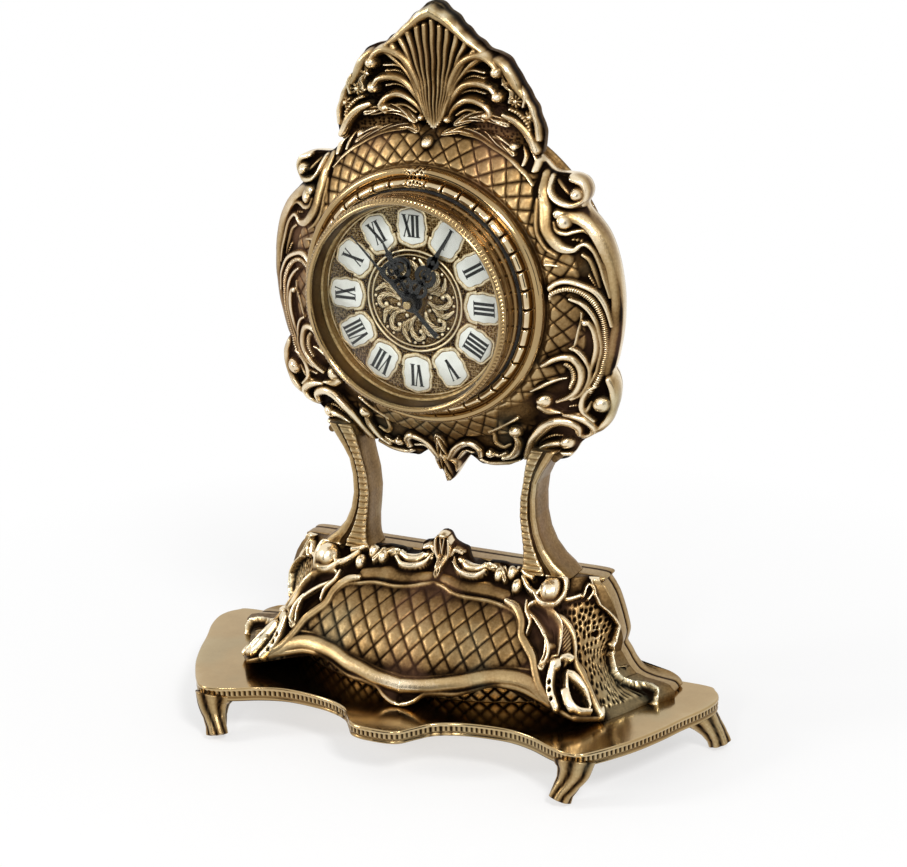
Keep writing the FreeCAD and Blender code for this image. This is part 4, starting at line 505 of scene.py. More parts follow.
headReach = polarReach(headOutline)
sideScrolls = [
    stroke([(60.9, 27.6), (66.2, 21.1), (69.9, 9.9), (71.6, -2.3), (71.3, -14.5), (68.9, -27.9),
        (65.3, -39.4), (62.1, -45.6)], 6.5, -1.2, "dig"),
    stroke([(49.9, 44.6), (55, 44), (60.9, 42.3)], 6, -1.6, "dig"),
    stroke([(53.9, 32.2), (61, 25.7), (66, 24)], 4.5, -1, "dig"),
    stroke([(33.1, -49.5), (40.2, -47.2), (46.7, -42.6), (52.8, -41.3)], 6.5, 0.1, "dig"),
    stroke([(37.6, -70), (46, -61.7), (55.7, -56.9), (61.8, -53.9)], 8, -1.4, "dig"),
    stroke([(12.4, -67.7), (22.2, -65.8), (32.4, -64.5)], 6.5, -1.2, "dig"),
    stroke([(48.7, -35.9), (53.5, -35.8), (58.7, -33.4)], 4.5, -1.2, "dig"),
    stroke([(8.7, 67.4), (20.3, 66.2), (32.3, 61.2), (42.2, 55.1)], 4.5, -1.2, "dig"),
    stroke([(62.3, -29.7), (64.5, -39.2), (67.8, -45.9), (69.8, -51.9)], 6, -1.4, "dig"),
    stroke([(47.9, 50.7), (49.2, 43.4), (50.2, 36.1), (51.2, 30.6), (53.5, 26.2), (56.9, 22.9), (60.9, 21.9),
        (63.5, 23.3)], [2, 2.9, 3.1, 3.2, 3.2, 2.7, 2, 1], 2.7, "band"),
    stroke([(46.5, 41.6), (46.8, 34.6), (47.8, 28.1), (50.7, 23.1), (54.9, 20.1)], [0.8, 1.3, 1.3, 1, 0.7],
        1.5),
    stroke([(59.4, 50), (63.9, 48.6), (65.7, 44.6), (64.7, 41), (61.7, 39.7), (58, 39.9), (54.4, 41.4),
        (51.7, 44.7), (50.6, 49.9)], [2, 2.7, 2.9, 2.6, 2, 1.5, 1.3, 1.2, 1.2], 4.4),
    knob(61.9, 44, 3, 5.6),
    stroke([(53.1, 48.8), (56.5, 45.5), (58.8, 43.5)], [0.7, 0.9, 1], 1.6),
    stroke([(55.3, 36.1), (59.5, 35.2), (63.7, 33.7), (68.4, 29.6), (72.1, 24.1), (75.1, 16.5), (76.8, 7.4),
        (77.3, -2.7), (76.5, -12.7), (74.6, -21.8), (72.6, -29.9)],
        [2.8, 3.2, 3.3, 3.3, 3.1, 2.7, 2.4, 2.3, 2.3, 2.2, 2],
        [4.2, 4.4, 4.2, 3.8, 3.4, 3, 2.8, 2.6, 2.6, 2.6, 2.4], "band"),
    knob(57.7, 33.7, 3.7, 5.4),
    stroke([(53.9, 32.9), (55.2, 29.9), (58.4, 28.7), (61.6, 29.3), (65, 29.4), (68.2, 26.9), (70.9, 22.5),
        (73.1, 16.8)], [1.2, 1.4, 1.3, 1.2, 1.2, 1.2, 1.1, 0.8], 3),
    stroke([(62.8, 23.4), (65.9, 24.1), (69.1, 21.4), (71.3, 16.1), (73.5, 8.9), (75, 2.7)],
        [0.9, 1.3, 1.5, 1.3, 1.1, 0.8], 2.6),
    stroke([(71.1, 22.2), (72.6, 17.3), (74.3, 10.1), (75.2, 2.6)], [0.8, 1.2, 1.2, 0.7], 2.4),
    stroke([(64.3, 19.9), (67.2, 17.5), (69.7, 11.8), (71, 6.7)], [0.8, 1.1, 1.1, 0.7], 1.4),
    stroke([(48.1, 5.7), (52.5, 7.3), (55.5, 9.3), (59.1, 9.9), (62.8, 9), (67.8, 6.5), (71.5, 3),
        (74.3, -2.3), (75.7, -9.4)], [1.5, 1.5, 1.4, 1.3, 1.2, 1.2, 1.2, 1.2, 1], 3.4),
    stroke([(51.8, 1.9), (53.7, 5), (57.6, 6.7), (61.4, 6.7), (65.3, 4.8), (69.2, 1.1), (71.9, -3.9),
        (73.1, -9.9), (73.5, -17.3), (72.5, -24.5), (70.2, -31.6), (67.2, -37.7)],
        [1, 1.3, 1.4, 1.5, 1.6, 1.7, 1.7, 1.6, 1.5, 1.5, 1.4, 1], 3.2, "milled", 0.9),
    stroke([(60.6, 3), (64.5, 0.7), (67.9, -3.1), (70.3, -8.5), (71.6, -15.2), (71.1, -22.1), (68.9, -29.7),
        (66, -36.3)], [0.8, 1.2, 1.3, 1.2, 1.1, 1.1, 1.1, 0.8], 3),
    knob(51.8, 3.6, 2, 4),
    stroke([(65.1, -7.1), (67.6, -8.2), (69.3, -11.6), (69.7, -16.5), (68.9, -22.6), (67, -28.1)],
        [1.2, 1.5, 1.6, 1.6, 1.5, 1.1], 3),
    knob(65.8, -7.6, 1.6, 3.4),
    stroke([(64.1, -3.4), (63.8, -7.4), (62.2, -13.2), (61, -17.2)], [0.5, 0.7, 0.7, 0.6], 1.9),
    stroke([(60.1, -17.9), (63, -19.9), (65.6, -23.8), (66.8, -29.3), (65.8, -34.6), (62.8, -38.7),
        (59.1, -40.6)], [0.9, 1.1, 1.2, 1.2, 1.2, 1.1, 0.9], 3.2),
    stroke([(49.3, -24.4), (52.9, -22.4), (56.9, -21.7), (60.7, -23), (63.3, -27), (63.6, -32.2),
        (61.5, -36.6), (57.8, -39.7), (53.6, -41.6)], [1.2, 1.6, 1.8, 2, 2.1, 2.1, 1.9, 1.6, 1.2], 3.6),
    stroke([(57, -24.5), (59.6, -27.1), (60.5, -31.3), (58.7, -35.6)], [1.1, 1.5, 1.7, 1.2], 2.8, "milled",
        0.9),
    stroke([(43.6, -36.4), (48.8, -33.6), (53.7, -32), (57.4, -31.2)], [0.8, 1.1, 1.1, 0.7], 2),
    knob(48, -41.6, 3.5, 5),
    stroke([(46.2, -44.3), (49.4, -46.4), (54.4, -46.7)], [2.3, 2.4, 0.8], 3.4),
    stroke([(36.3, -76.6), (37.3, -69.6), (41.7, -60.4), (47.3, -53.7), (52.7, -51.2), (57.5, -51.8),
        (60.5, -54.2), (60.7, -57.6)], [2.4, 2.5, 2.4, 2.6, 2.9, 2.9, 2.5, 1.6],
        [4, 4.2, 4.2, 4.4, 4.8, 5, 4.6, 3.6]),
    stroke([(55.5, -47.9), (59.5, -48.6), (64, -50.5), (66.8, -53.7), (65.6, -57.3), (61.6, -58.7)],
        [1.2, 1.8, 2.2, 2.2, 1.9, 1.3], [3.4, 4.2, 4.6, 4.4, 4, 3]),
    stroke([(40.2, -70.3), (43.6, -65.5), (48.2, -62.7), (53.2, -61.7)], [1.1, 1.4, 1.8, 2.2], 4),
    knob(55.1, -61.5, 3.2, 5.4),
    stroke([(42.8, -72.1), (46.8, -68.1), (51.8, -66.7), (56.2, -66.7)], [1.4, 1.6, 1.7, 1.5], 4),
    stroke([(41, -67.8), (45.1, -61.3), (49.9, -58.3), (53.5, -58.1)], [0.6, 0.8, 0.8, 0.6], 2.2, "milled",
        1.1),
    knob(71, -43, 3.9, 5.6),
    stroke([(73.7, -32.3), (75.7, -37.3), (75.7, -43.4), (73.7, -49.4), (69.9, -53.4), (66.1, -55.8)],
        [1.8, 2.3, 2.6, 2.5, 2.1, 1.4], 3.6),
    stroke([(69.1, -35.3), (66.1, -37.1), (63.5, -41.3), (63.6, -46.5), (67.4, -50.5)],
        [1, 1.5, 1.6, 1.5, 1], 3.4),
    stroke([(12, 64.7), (18.8, 63.4), (25.9, 60.6), (32.9, 56.7), (40, 51.2), (44.2, 46.4)],
        [0.7, 0.9, 0.9, 0.9, 0.9, 0.6], 1.7),
    stroke([(11.6, 67.4), (16.7, 69.2), (23.3, 68.7), (29.4, 66.2)], [1.2, 2.2, 2.4, 1], 2.6),
    stroke([(27.5, 69.5), (32.4, 66.9), (35.2, 62.9), (34.7, 60)], [1.1, 1.7, 1.9, 1.4], 3.6),
    knob(34.6, 61.5, 2.6, 4.8),
    stroke([(44, 52.2), (44.4, 56.1), (41.8, 60.8), (37.9, 65.3), (32.5, 69.3)], [1.5, 2.2, 2.5, 2.2, 1.2],
        3.8),
    stroke([(39.3, 54.1), (39.5, 57.6), (37.5, 61.3)], [0.8, 1.1, 0.8], 2.4),
    stroke([(22.9, -57.7), (29, -54.6), (36, -50)], [0.8, 1, 0.8], 1.7),
    stroke([(24.3, -58.7), (24.4, -63.4), (27.1, -66.3), (30.2, -64.6)], [0.9, 1.1, 1.1, 0.8], 1.4),
    knob(34.4, -57, 3.1, 5),
    stroke([(26.5, -72), (31, -69.9), (34.3, -63.9), (34.3, -58.1)], [1.2, 1.9, 2, 1.2], 4),
    stroke([(2.2, -74.3), (6.7, -67.9), (12.4, -64.6), (16.4, -67.1), (16.5, -71.6)],
        [1.4, 1.9, 2.1, 1.9, 1.1], 3.8),
    stroke([(5.3, -74.6), (9.5, -69.9), (13, -69.8)], [0.9, 1.2, 1], 3),
    knob(21.1, -69.9, 2.3, 4.4),
    stroke([(16.1, -74), (19.7, -75.5), (26.7, -74.7), (32.8, -73)], [1.2, 1.5, 1.4, 1.2], 3),
    stroke([(21.2, -68), (24.2, -71), (27.9, -69.3)], [0.9, 1.3, 0.9], 2.6),
    stroke([(6, 64.4), (13, 66), (21, 64.8), (29, 61.6), (35, 57.6)], [1.2, 1.9, 2, 1.8, 1], 3, "leaf", 3),
    stroke([(20, 66.4), (27, 64.4), (33, 61)], [0.8, 1.3, 0.8], 3.6),
    stroke([(46.4, 14), (51, 16.6), (56, 16)], [0.6, 0.9, 0.6], 1.6),
    stroke([(67, -42), (64, -47), (58, -47.6)], [0.8, 1.2, 0.8], 2.6),
    stroke([(58, -44), (62.6, -43), (66.6, -39)], [0.6, 1.1, 0.7], 2.2, "milled", 1.1),
    stroke([(67, 12), (70, 6), (71.6, 0)], [0.5, 0.8, 0.5], 1.4, "milled", 1.1),
    stroke([(60, 26), (64, 25.2), (67.6, 23.2)], [0.6, 1, 0.6], 1.2, "beads", 1.6),
]
leafDrop = [
    knob(0, 60.8, 2.7, 4.2),
    stroke([(0, -63), (0, -75), (0, -86)], [2.4, 3.6, 1.6], 4.2, "leaf", 3),
] + bothSides([stroke([(1, -73), (4.4, -76.6), (4, -81)], [1.6, 2, 1], 3.6)])


def makeHead(name, side):
    part, share, rows = rowTable(*head["spans"])
    carving = bothSides(sideScrolls) + leafDrop

    def place(u, j):
        turn = (u - 0.5) * np.pi if side > 0 else (u + 0.5) * np.pi
        k, s = part[j], share[j]
        reach = headReach(turn) * head["shrink"]
        inner, seam = head["innerRadius"], head["bandRadius"]
        innerY = domeY(inner) + head["wall"]
        r = byPart(k, inner + (reach - inner) * s, reach, reach + (inner - reach) * s, inner)
        x, z = r * np.cos(turn), r * np.sin(turn)
        span = np.clip((r - seam) / (reach - seam), 0, 1)
        base = np.where(r < seam, domeY(r), domeY(seam) + (head["rimY"] - domeY(seam)) * span ** 1.15)
        rise = polarTrellis(x, z, head["trellisCount"], head["domeRadius"]) ** 0.6 * head["trellisRise"]
        outward = np.clip((r - head["stretchFrom"]) / head["stretchOver"], 0, 1)
        stretch = 1 + (1 / head["shrink"] - 1) * outward
        rise = carveAll(x * stretch, z * stretch, rise, carving)
        rise = rise - np.where(rise < -0.2, 0.9 * pits(x, z, pitch=1.7, size=0.42), 0)
        lip = np.exp(-((span - 0.97) / 0.04) ** 2) * 1.2
        rise = np.maximum(rise, lip) * np.clip((r - inner - 0.6) / 1.4, 0, 1)
        rise = np.where((k == 0) & (j > 0), rise, 0)
        y = byPart(k, base - rise, head["rimY"] + (head["backY"] - head["rimY"]) * s,
                   head["backY"] + (innerY - head["backY"]) * s, domeY(inner) + head["wall"] * (1 - s))
        r = np.where(k == 1, r + 0.5 * np.sin(np.pi * s) - head["taper"] * s, r)
        r = np.where(k == 2, r - head["taper"] * (1 - s), r)
        # painted light: the side wall gets a high shade so it shows bright, with a painted shade line near
        # its back edge
        shade = np.where(k == 1, head["sideShade"] - 1.6 * np.exp(-((s - 0.8) / 0.06) ** 2), rise)
        return atDial(r * np.cos(turn), y, r * np.sin(turn)), shade

    gridPiece(name, head["columns"], rows, place, replaced=("head_front",), wrap=False,
              gain=0.46, level=0.46, reach=4)


def makeHeadBack():
    line = np.array(head["backProfile"] + head["backProfile"][:1], float)
    rows = len(line) - 1

    def place(u, j):
        turn = u * 2 * np.pi
        r, y = line[j, 0], line[j, 1]
        return atDial(r * np.cos(turn), y, r * np.sin(turn)), 0.15 * np.sin(turn * 7) + 0 * r

    gridPiece("headBackPlate", 720, rows, place, finish="backBrass", replaced=("head_back",))


makeHeadBack()
makeHead("carvedHeadRight", 1)
makeHead("carvedHeadLeft", -1)
print("head carved")


# crest: a fluted shell between curled volutes

crestOutline = [
    (0, 114.3), (3.4, 113.2), (6, 110.6), (9.4, 108.6), (11.6, 105.6), (14, 104), (16.6, 101), (19.8, 99.2),
    (22.6, 96.6), (27, 95.4), (31, 93.4), (33.2, 90), (35.2, 87.2), (37, 84), (39, 81.2), (40.6, 78),
    (42.6, 75.2), (43.4, 71.8), (45, 68), (45.6, 64), (43.6, 56), (37, 57), (30, 59.6), (20, 62), (10, 63.4),
    (0, 63.8),
]
crestFlutes = [
    [(0, 64), (0, 85), (0, 107)], [(1, 65), (2.2, 84), (3.4, 105)], [(1.8, 66), (4.1, 84), (6.7, 103.6)],
    [(2.5, 67), (5.5, 83), (8.3, 93.4), (10.6, 101.6)], [(3.2, 68), (6.8, 82), (10.4, 91.4), (14.2, 99)],
    [(3.8, 69), (7.8, 80.6), (12.2, 89), (17.6, 96)], [(4.2, 70), (8, 79.6), (13, 87.2), (19, 92.6),
    (21.4, 93.6)],
]
crestScrolls = [stroke(path, [0.85, 1.15, 1.75], [5.6, 4.6, 5.2]) for path in crestFlutes] + [
    stroke([(4, 70), (6.4, 80), (10, 88.4), (15, 93), (20.5, 94.4), (25, 92.6), (27.6, 89.6)],
        [1, 1.7, 2.2, 2.2, 1.7], [3.6, 5.4, 6.2, 6.2]),
    knob(27.4, 88.6, 3.1, 7),
    stroke([(6.6, 79), (10.4, 84.8), (16, 88.2), (22, 88)], 0.85, 4),
    stroke([(7, 76.8), (11, 82.6), (16, 85.8), (21.8, 85.6)], 0.75, 3.4, "milled", 0.9),
    stroke([(4.6, 69), (7.6, 76.2), (12.4, 81.8), (18.5, 83.6), (24, 82.4), (26.8, 79.4)],
        [1, 1.7, 2, 2, 1.5], [3.4, 5, 5.8, 5.8]),
    knob(27.2, 78.6, 2.8, 6.6),
    stroke([(8, 74.6), (12, 78.8), (17, 80.4), (22, 79.6)], 0.75, 3.2, "milled", 0.9),
    stroke([(5, 67.6), (7.6, 72.2), (12, 75.8), (17, 76.6), (21.6, 74.8), (24, 71.4), (21.6, 69)],
        [1, 1.6, 1.9, 1.8, 1.3], [3.2, 4.8, 5.4, 5]),
    knob(21.8, 70.8, 2.2, 5.8),
    stroke([(9, 69.8), (13, 72.2), (17.4, 72.2)], 0.9, 3),
    stroke([(0, 110.6), (5, 108.2), (10, 104.2), (15.6, 99.6), (21, 95.6)], [3, 2.8, 2.4, 2, 1.3],
        [6.4, 6.2, 5.8, 5.4, 4.4], "band"),
    stroke([(22.6, 93), (27, 92.6), (31, 89.6), (34, 85), (37, 79.6)], [1, 2.2, 2.7, 2.4, 1.2],
        [4.2, 5, 5, 4.4, 3.4], "band"),
    stroke([(38.6, 79.4), (41, 75), (43.2, 69.6), (43.6, 63)], [1, 1.7, 1.6, 1.4], 3.4),
    stroke([(30, 88), (30.2, 84.4), (33, 81), (32, 77)], [0.8, 1.5, 1.5, 0.9], 4.2, "leaf", 2),
    stroke([(31.6, 74.4), (36, 72.4), (39.8, 68), (40.6, 63)], [0.8, 1.2, 1.2, 0.8], 3.6, "milled", 1.3),
    stroke([(37.6, 85), (38.8, 80), (37.8, 75.4)], [0.8, 1.3, 0.8], 3.8),
    stroke([(29.4, 83.6), (33.4, 84.6), (36.6, 81.6), (38.6, 77.8)], [0.9, 1.4, 1.4, 1], 3.6),
    knob(34.6, 77.4, 3.2, 4, 8),
    knob(40.4, 71.4, 3, 3.8, 8),
    stroke([(9, 66.6), (16, 70), (23.5, 70), (31, 68)], [1.4, 2.4, 2.6, 1.4], 5, "leaf", 3),
    knob(5.6, 68.2, 2, 6.4),
    stroke([(29.4, 71.6), (35, 68.8), (39.6, 64.2), (42.6, 58.4)], [1.4, 2.2, 2.4, 2], 4, "band"),
]
crestGround = [stroke([(0, 66), (0, 90), (0, 106)], [5, 14, 24], 1.4, "dig")]
crest = {"middle": (0, 84), "frontY": 31.5, "backY": 34.9, "columns": 620, "spans": (120, 8, 2)}


def makeCrest():
    part, share, rows = rowTable(*crest["spans"])
    line = spline(mirrored(crestOutline), 12)
    middleX, middleZ = crest["middle"]
    front, back = crest["frontY"], crest["backY"]
    carving = crestGround + bothSides(crestScrolls)

    def place(u, j):
        k, s = part[j], share[j]
        rimX, rimZ = onLine(line, u)
        reach = byPart(k, s, 1, 1 - s)
        x = middleX + (rimX - middleX) * reach
        z = middleZ + (rimZ - middleZ) * reach
        rise = carveAll(x, z, np.full(x.shape, -0.3), carving)
        rise = rise - np.where(rise < 0, 0.8 * pits(x, z, pitch=1.7, size=0.42), 0)
        rise = np.where(k == 0, rise * np.clip((1 - s) / 0.015, 0, 1) ** 0.5, 0)
        return atDial(x, byPart(k, front - rise, front + (back - front) * s, back), z), rise

    gridPiece("crestShell", crest["columns"], rows, place, replaced=("crest",), gain=0.3, level=0.45, reach=3)


makeCrest()
print("crest carved")


# pedestal: a trellised panel that bulges forward, with scrolls at its corners and an arched foot

pedestal = {
    "footZ": 22, "shelfZ": 69, "wall": 2.6, "seamY": 30.7, "rearY": 30, "backY": 43, "flankSag": 4.8,
    "cornerShare": 0.62, "cornerX": (77.5, 50, 1.6), "halfX": (100, 71, 2.2), "cornerY": (-15, 38, 1.3),
    "frontY": (-21, 46, 1.5), "trellisPitch": 5.7, "panelHalf": 53.6, "bulge": 2.2, "bandRise": 2.2,
    "holeAt": (80, 48), "holeDepth": 1.8, "columns": 640, "spans": (134, 2, 2, 2, 1, 9, 1),
    "backColumns": 900, "backSpans": (10, 14, 20, 14),
    "panelBottom": [(0, 32.8), (8, 33.4), (14, 34.4), (20, 35.6), (26, 36.6), (33, 38.6), (41, 39.8),
        (47, 40.2), (52.6, 40)],
    "panelTop": [(0, 61.6), (5, 60.6), (10, 59.4), (17, 58.8), (26, 58.8), (32, 58), (38, 56.6), (41, 54),
        (43, 50), (44.4, 48), (48, 46), (51.6, 42.6), (52.6, 40)],
    "lowEdge": [(0, 22.1), (3, 22.4), (7, 24.2), (11, 27), (17, 28), (24, 28.6), (32, 30.8), (41, 33.3),
        (48, 33.3), (56, 31.4), (63, 29), (69, 26.8), (75, 24.8), (82, 23.2), (88, 22.1), (94, 22)],
    "topEdge": [(0, 81.4), (2.2, 80.6), (4, 77.6), (7, 76), (10, 75), (10.8, 72), (12, 69.6), (14, 68.8),
        (18, 68.4), (20, 70.6), (23, 71), (27, 71.1), (30, 70.4), (34, 70.6), (36, 69), (71, 69)],
}
flank = [  # height and half width of the rear edge, with its lobes and rounded toe
    (22, 97.2), (23.4, 98.2), (25.2, 96.4), (25.9, 91), (26.4, 87), (28, 82), (31.6, 78.6), (35.4, 76.4),
    (38.6, 74.4), (41, 74.9), (44.6, 75.6), (50, 74.5), (55.4, 73), (60, 71.4), (62.6, 70), (64, 69.2),
    (66.2, 67.6), (69, 66.6),
]
bandFront = [  # front edge of the smooth rear band: along the sheet, and up
    (116, 25.6), (112, 26.6), (107, 28.4), (103, 30.6), (100, 33), (98, 36.5), (96, 40), (93.6, 41.2),
    (91.6, 42.6), (90, 45.6), (87, 49.6), (83, 52.4), (78, 55.6), (73, 58.5), (70, 62), (68, 69),
]


def pedestalSection(z):  # half widths narrow and the front leans back towards the shelf
    share = np.clip((z - pedestal["footZ"]) / (pedestal["shelfZ"] - pedestal["footZ"]), 0, 1)

    def narrowed(low, high, power):
        return high + (low - high) * (1 - share) ** power

    def leaned(start, gain, power):
        return start + gain * share ** power

    return (narrowed(*pedestal["cornerX"]), leaned(*pedestal["cornerY"]), leaned(*pedestal["frontY"]),
            narrowed(*pedestal["halfX"]))


def pedestalPoint(a, z):
    cornerX, cornerY, frontY, half = pedestalSection(z)
    side = np.sign(a)
    a = np.abs(a)
    toRear = pedestal["rearY"] - cornerY
    k = np.clip((a - cornerX) / np.hypot(half - cornerX, toRear), 0, 1)
    onFront = a <= cornerX
    x = np.where(onFront, a, cornerX + (half - cornerX) * k - pedestal["flankSag"] * k * (1 - k))
    heights, widths = np.array(flank).T
    pull = np.clip((k - 0.4) / 0.55, 0, 1)
    x = x + np.where(onFront, 0, (np.interp(z, heights, widths) - half) * pull ** 2 * (3 - 2 * pull))
    y = np.where(onFront, frontY + (cornerY - frontY) * (a / cornerX) ** 2, cornerY + toRear * k)
    return x * side, y


pedestalScrolls = [
    stroke([(38, 72), (42, 69), (47, 66)], 6, -1.6, "dig"),
    stroke([(0, 63.6), (12, 62), (24, 62), (33, 61)], [1.6, 2.2, 2.6, 2], 1.7, "band"),
    stroke(pedestal["panelBottom"], 0.7, 1.7, steps=6),
    stroke(pedestal["panelTop"], 0.8, 2, steps=6),
    stroke([(0, 29.8), (10, 30.7), (20, 32.6), (26, 33.8), (33, 35.8), (41, 37), (48, 37), (54, 35.6),
        (59, 33), (64, 30.4)], [3, 3.1, 3.2, 3.2, 3, 2.2], [3, 3, 3, 2.8, 2.4], "band"),
    stroke([(a, b + 0.9) for a, b in pedestal["lowEdge"][:15]], 1, 1.9, steps=6),
    stroke([(33.4, 59.4), (38.6, 58), (42.6, 54.4), (44.4, 50), (47.6, 47.2), (51.6, 43.8), (54.6, 39),
        (58, 34.6), (63, 31)], [1, 1.9, 2.1, 2, 2, 2, 2, 2, 1.4], 2.9, "band"),
    stroke([(4.8, 69.6), (6.6, 66.4), (11, 64.9), (17, 64.8), (20.4, 66.4)], [0.7, 0.9, 1, 1, 0.8], 4),
    stroke([(7.4, 70.6), (10, 67.8), (14.6, 67), (19, 68)], [1.2, 1.7, 1.6, 1.4], 3.2),
    stroke([(20, 68.4), (24, 69), (27.4, 67.6), (30, 65.2)], [1.2, 2, 2, 1.2], 3.4, "leaf", 2.4),
    knob(26.6, 66.4, 2.2, 4.2),
    knob(31.8, 67.8, 2.4, 4),
    knob(35.8, 64, 2.4, 4),
    stroke([(33.6, 71), (37.4, 68), (41.4, 67.2)], [0.9, 1.2, 1], 3.4),
    stroke([(41.6, 76), (44.6, 72.6), (50, 71)], [0.9, 1.1, 1], 2.6),
    stroke([(37.6, 66.4), (42, 63.6), (46.2, 62.8), (47.6, 65.6)], [0.9, 1.2, 1.3, 0.9], 4.2),
    knob(50.8, 64, 4.4, 7),
    stroke([(44.6, 62.6), (48.4, 60.2), (53, 60), (56.4, 62.8), (56, 67), (52, 69.4), (47.6, 68.6)],
        [1, 1.6, 1.9, 1.8, 1.4, 1], [4.4, 5, 5.4, 4.6, 3.4]),
    stroke([(56.6, 61.6), (60, 61.4), (64, 62.2)], 1.1, 2.6),
    stroke([(65.6, 62), (66.2, 65), (68.4, 66), (69.6, 63.4), (68.2, 60.8)], 0.9, 3),
    stroke([(42.6, 60), (43.6, 57.2), (46.6, 54), (46.8, 50.6)], [0.8, 1, 1, 0.7], 3.8),
    stroke([(45.6, 58.4), (51.6, 55.8), (57, 51), (58, 45.4), (56.4, 41.4)], [2.4, 3.4, 3.6, 3, 1.6],
        [3, 3.8, 4.4, 4, 3], "fluted"),
    stroke([(58.6, 53.4), (63, 49.4), (65.6, 45), (66, 42)], [1.8, 3, 3, 1.8], 3.4, "milled", 1.3),
    stroke([(54.6, 50.4), (57.4, 46.4), (57.6, 42.8), (56, 41.4)], [0.8, 1.1, 1.1, 0.8], 4.8),
    stroke([(53, 57.6), (60, 54.6), (66, 50.4), (69.4, 45.6), (71, 41.4), (75.6, 37), (80.4, 32.4),
        (84.4, 28), (87.6, 24.4)], [1, 1.4, 1.5, 1.4, 1.4, 1.5, 1.6, 1.6, 1.4], 3.2),
    stroke([(60.6, 42.6), (61.4, 37), (63, 33), (66.4, 28.8)], [1.8, 2.1, 2.1, 1.8], 4.2, "band"),
    stroke([(61.6, 43.6), (65, 43.4), (68.6, 42)], [1.2, 1.5, 1.2], 4.6),
    stroke([(69.6, 34.6), (73, 31.4), (77.6, 28.6)], [1.8, 2.8, 2.2], -1.8, "dig"),
    stroke([(66.4, 39), (67.6, 34), (70.6, 30), (75.6, 27.2), (82, 25.8)], [0.9, 1.1, 1.1, 1.1, 0.9], 3.8),
    stroke([(66.4, 39), (70.4, 37.6), (75, 35), (79, 31.4), (81.4, 27.4)], [0.9, 1.3, 1.3, 1.2, 0.9], 3.8),
    stroke([(71.4, 41.4), (77, 37.4), (81, 32.6), (85, 27.4)], 0.9, 2.4),
    knob(88.4, 24.2, 2.4, 3.4),
] + [stroke([(a, b), (a, b - 0.2)], 0.75, 0.6, "dig") for a, b in ((61.5, 36.6), (62.3, 34.2), (63.8, 31.4))]
pedestalMiddle = [
    stroke([(0, 64), (0, 71), (0, 80.4)], [1.8, 2.4, 2.2], 4.2, "leaf", 3),
    knob(0, 80.4, 2.6, 4.6),
] + bothSides([
    stroke([(3, 79), (3, 73), (1.6, 69), (1, 65)], [1, 1.2, 1.2, 0.8], 4.4),
    stroke([(8.6, 73.6), (5.6, 74.4), (4, 72)], [1.2, 1.6, 0.9], 3.4),
]) + [stroke([(0, 25), (0, 24.6)], 1.6, -1.6, "dig")]


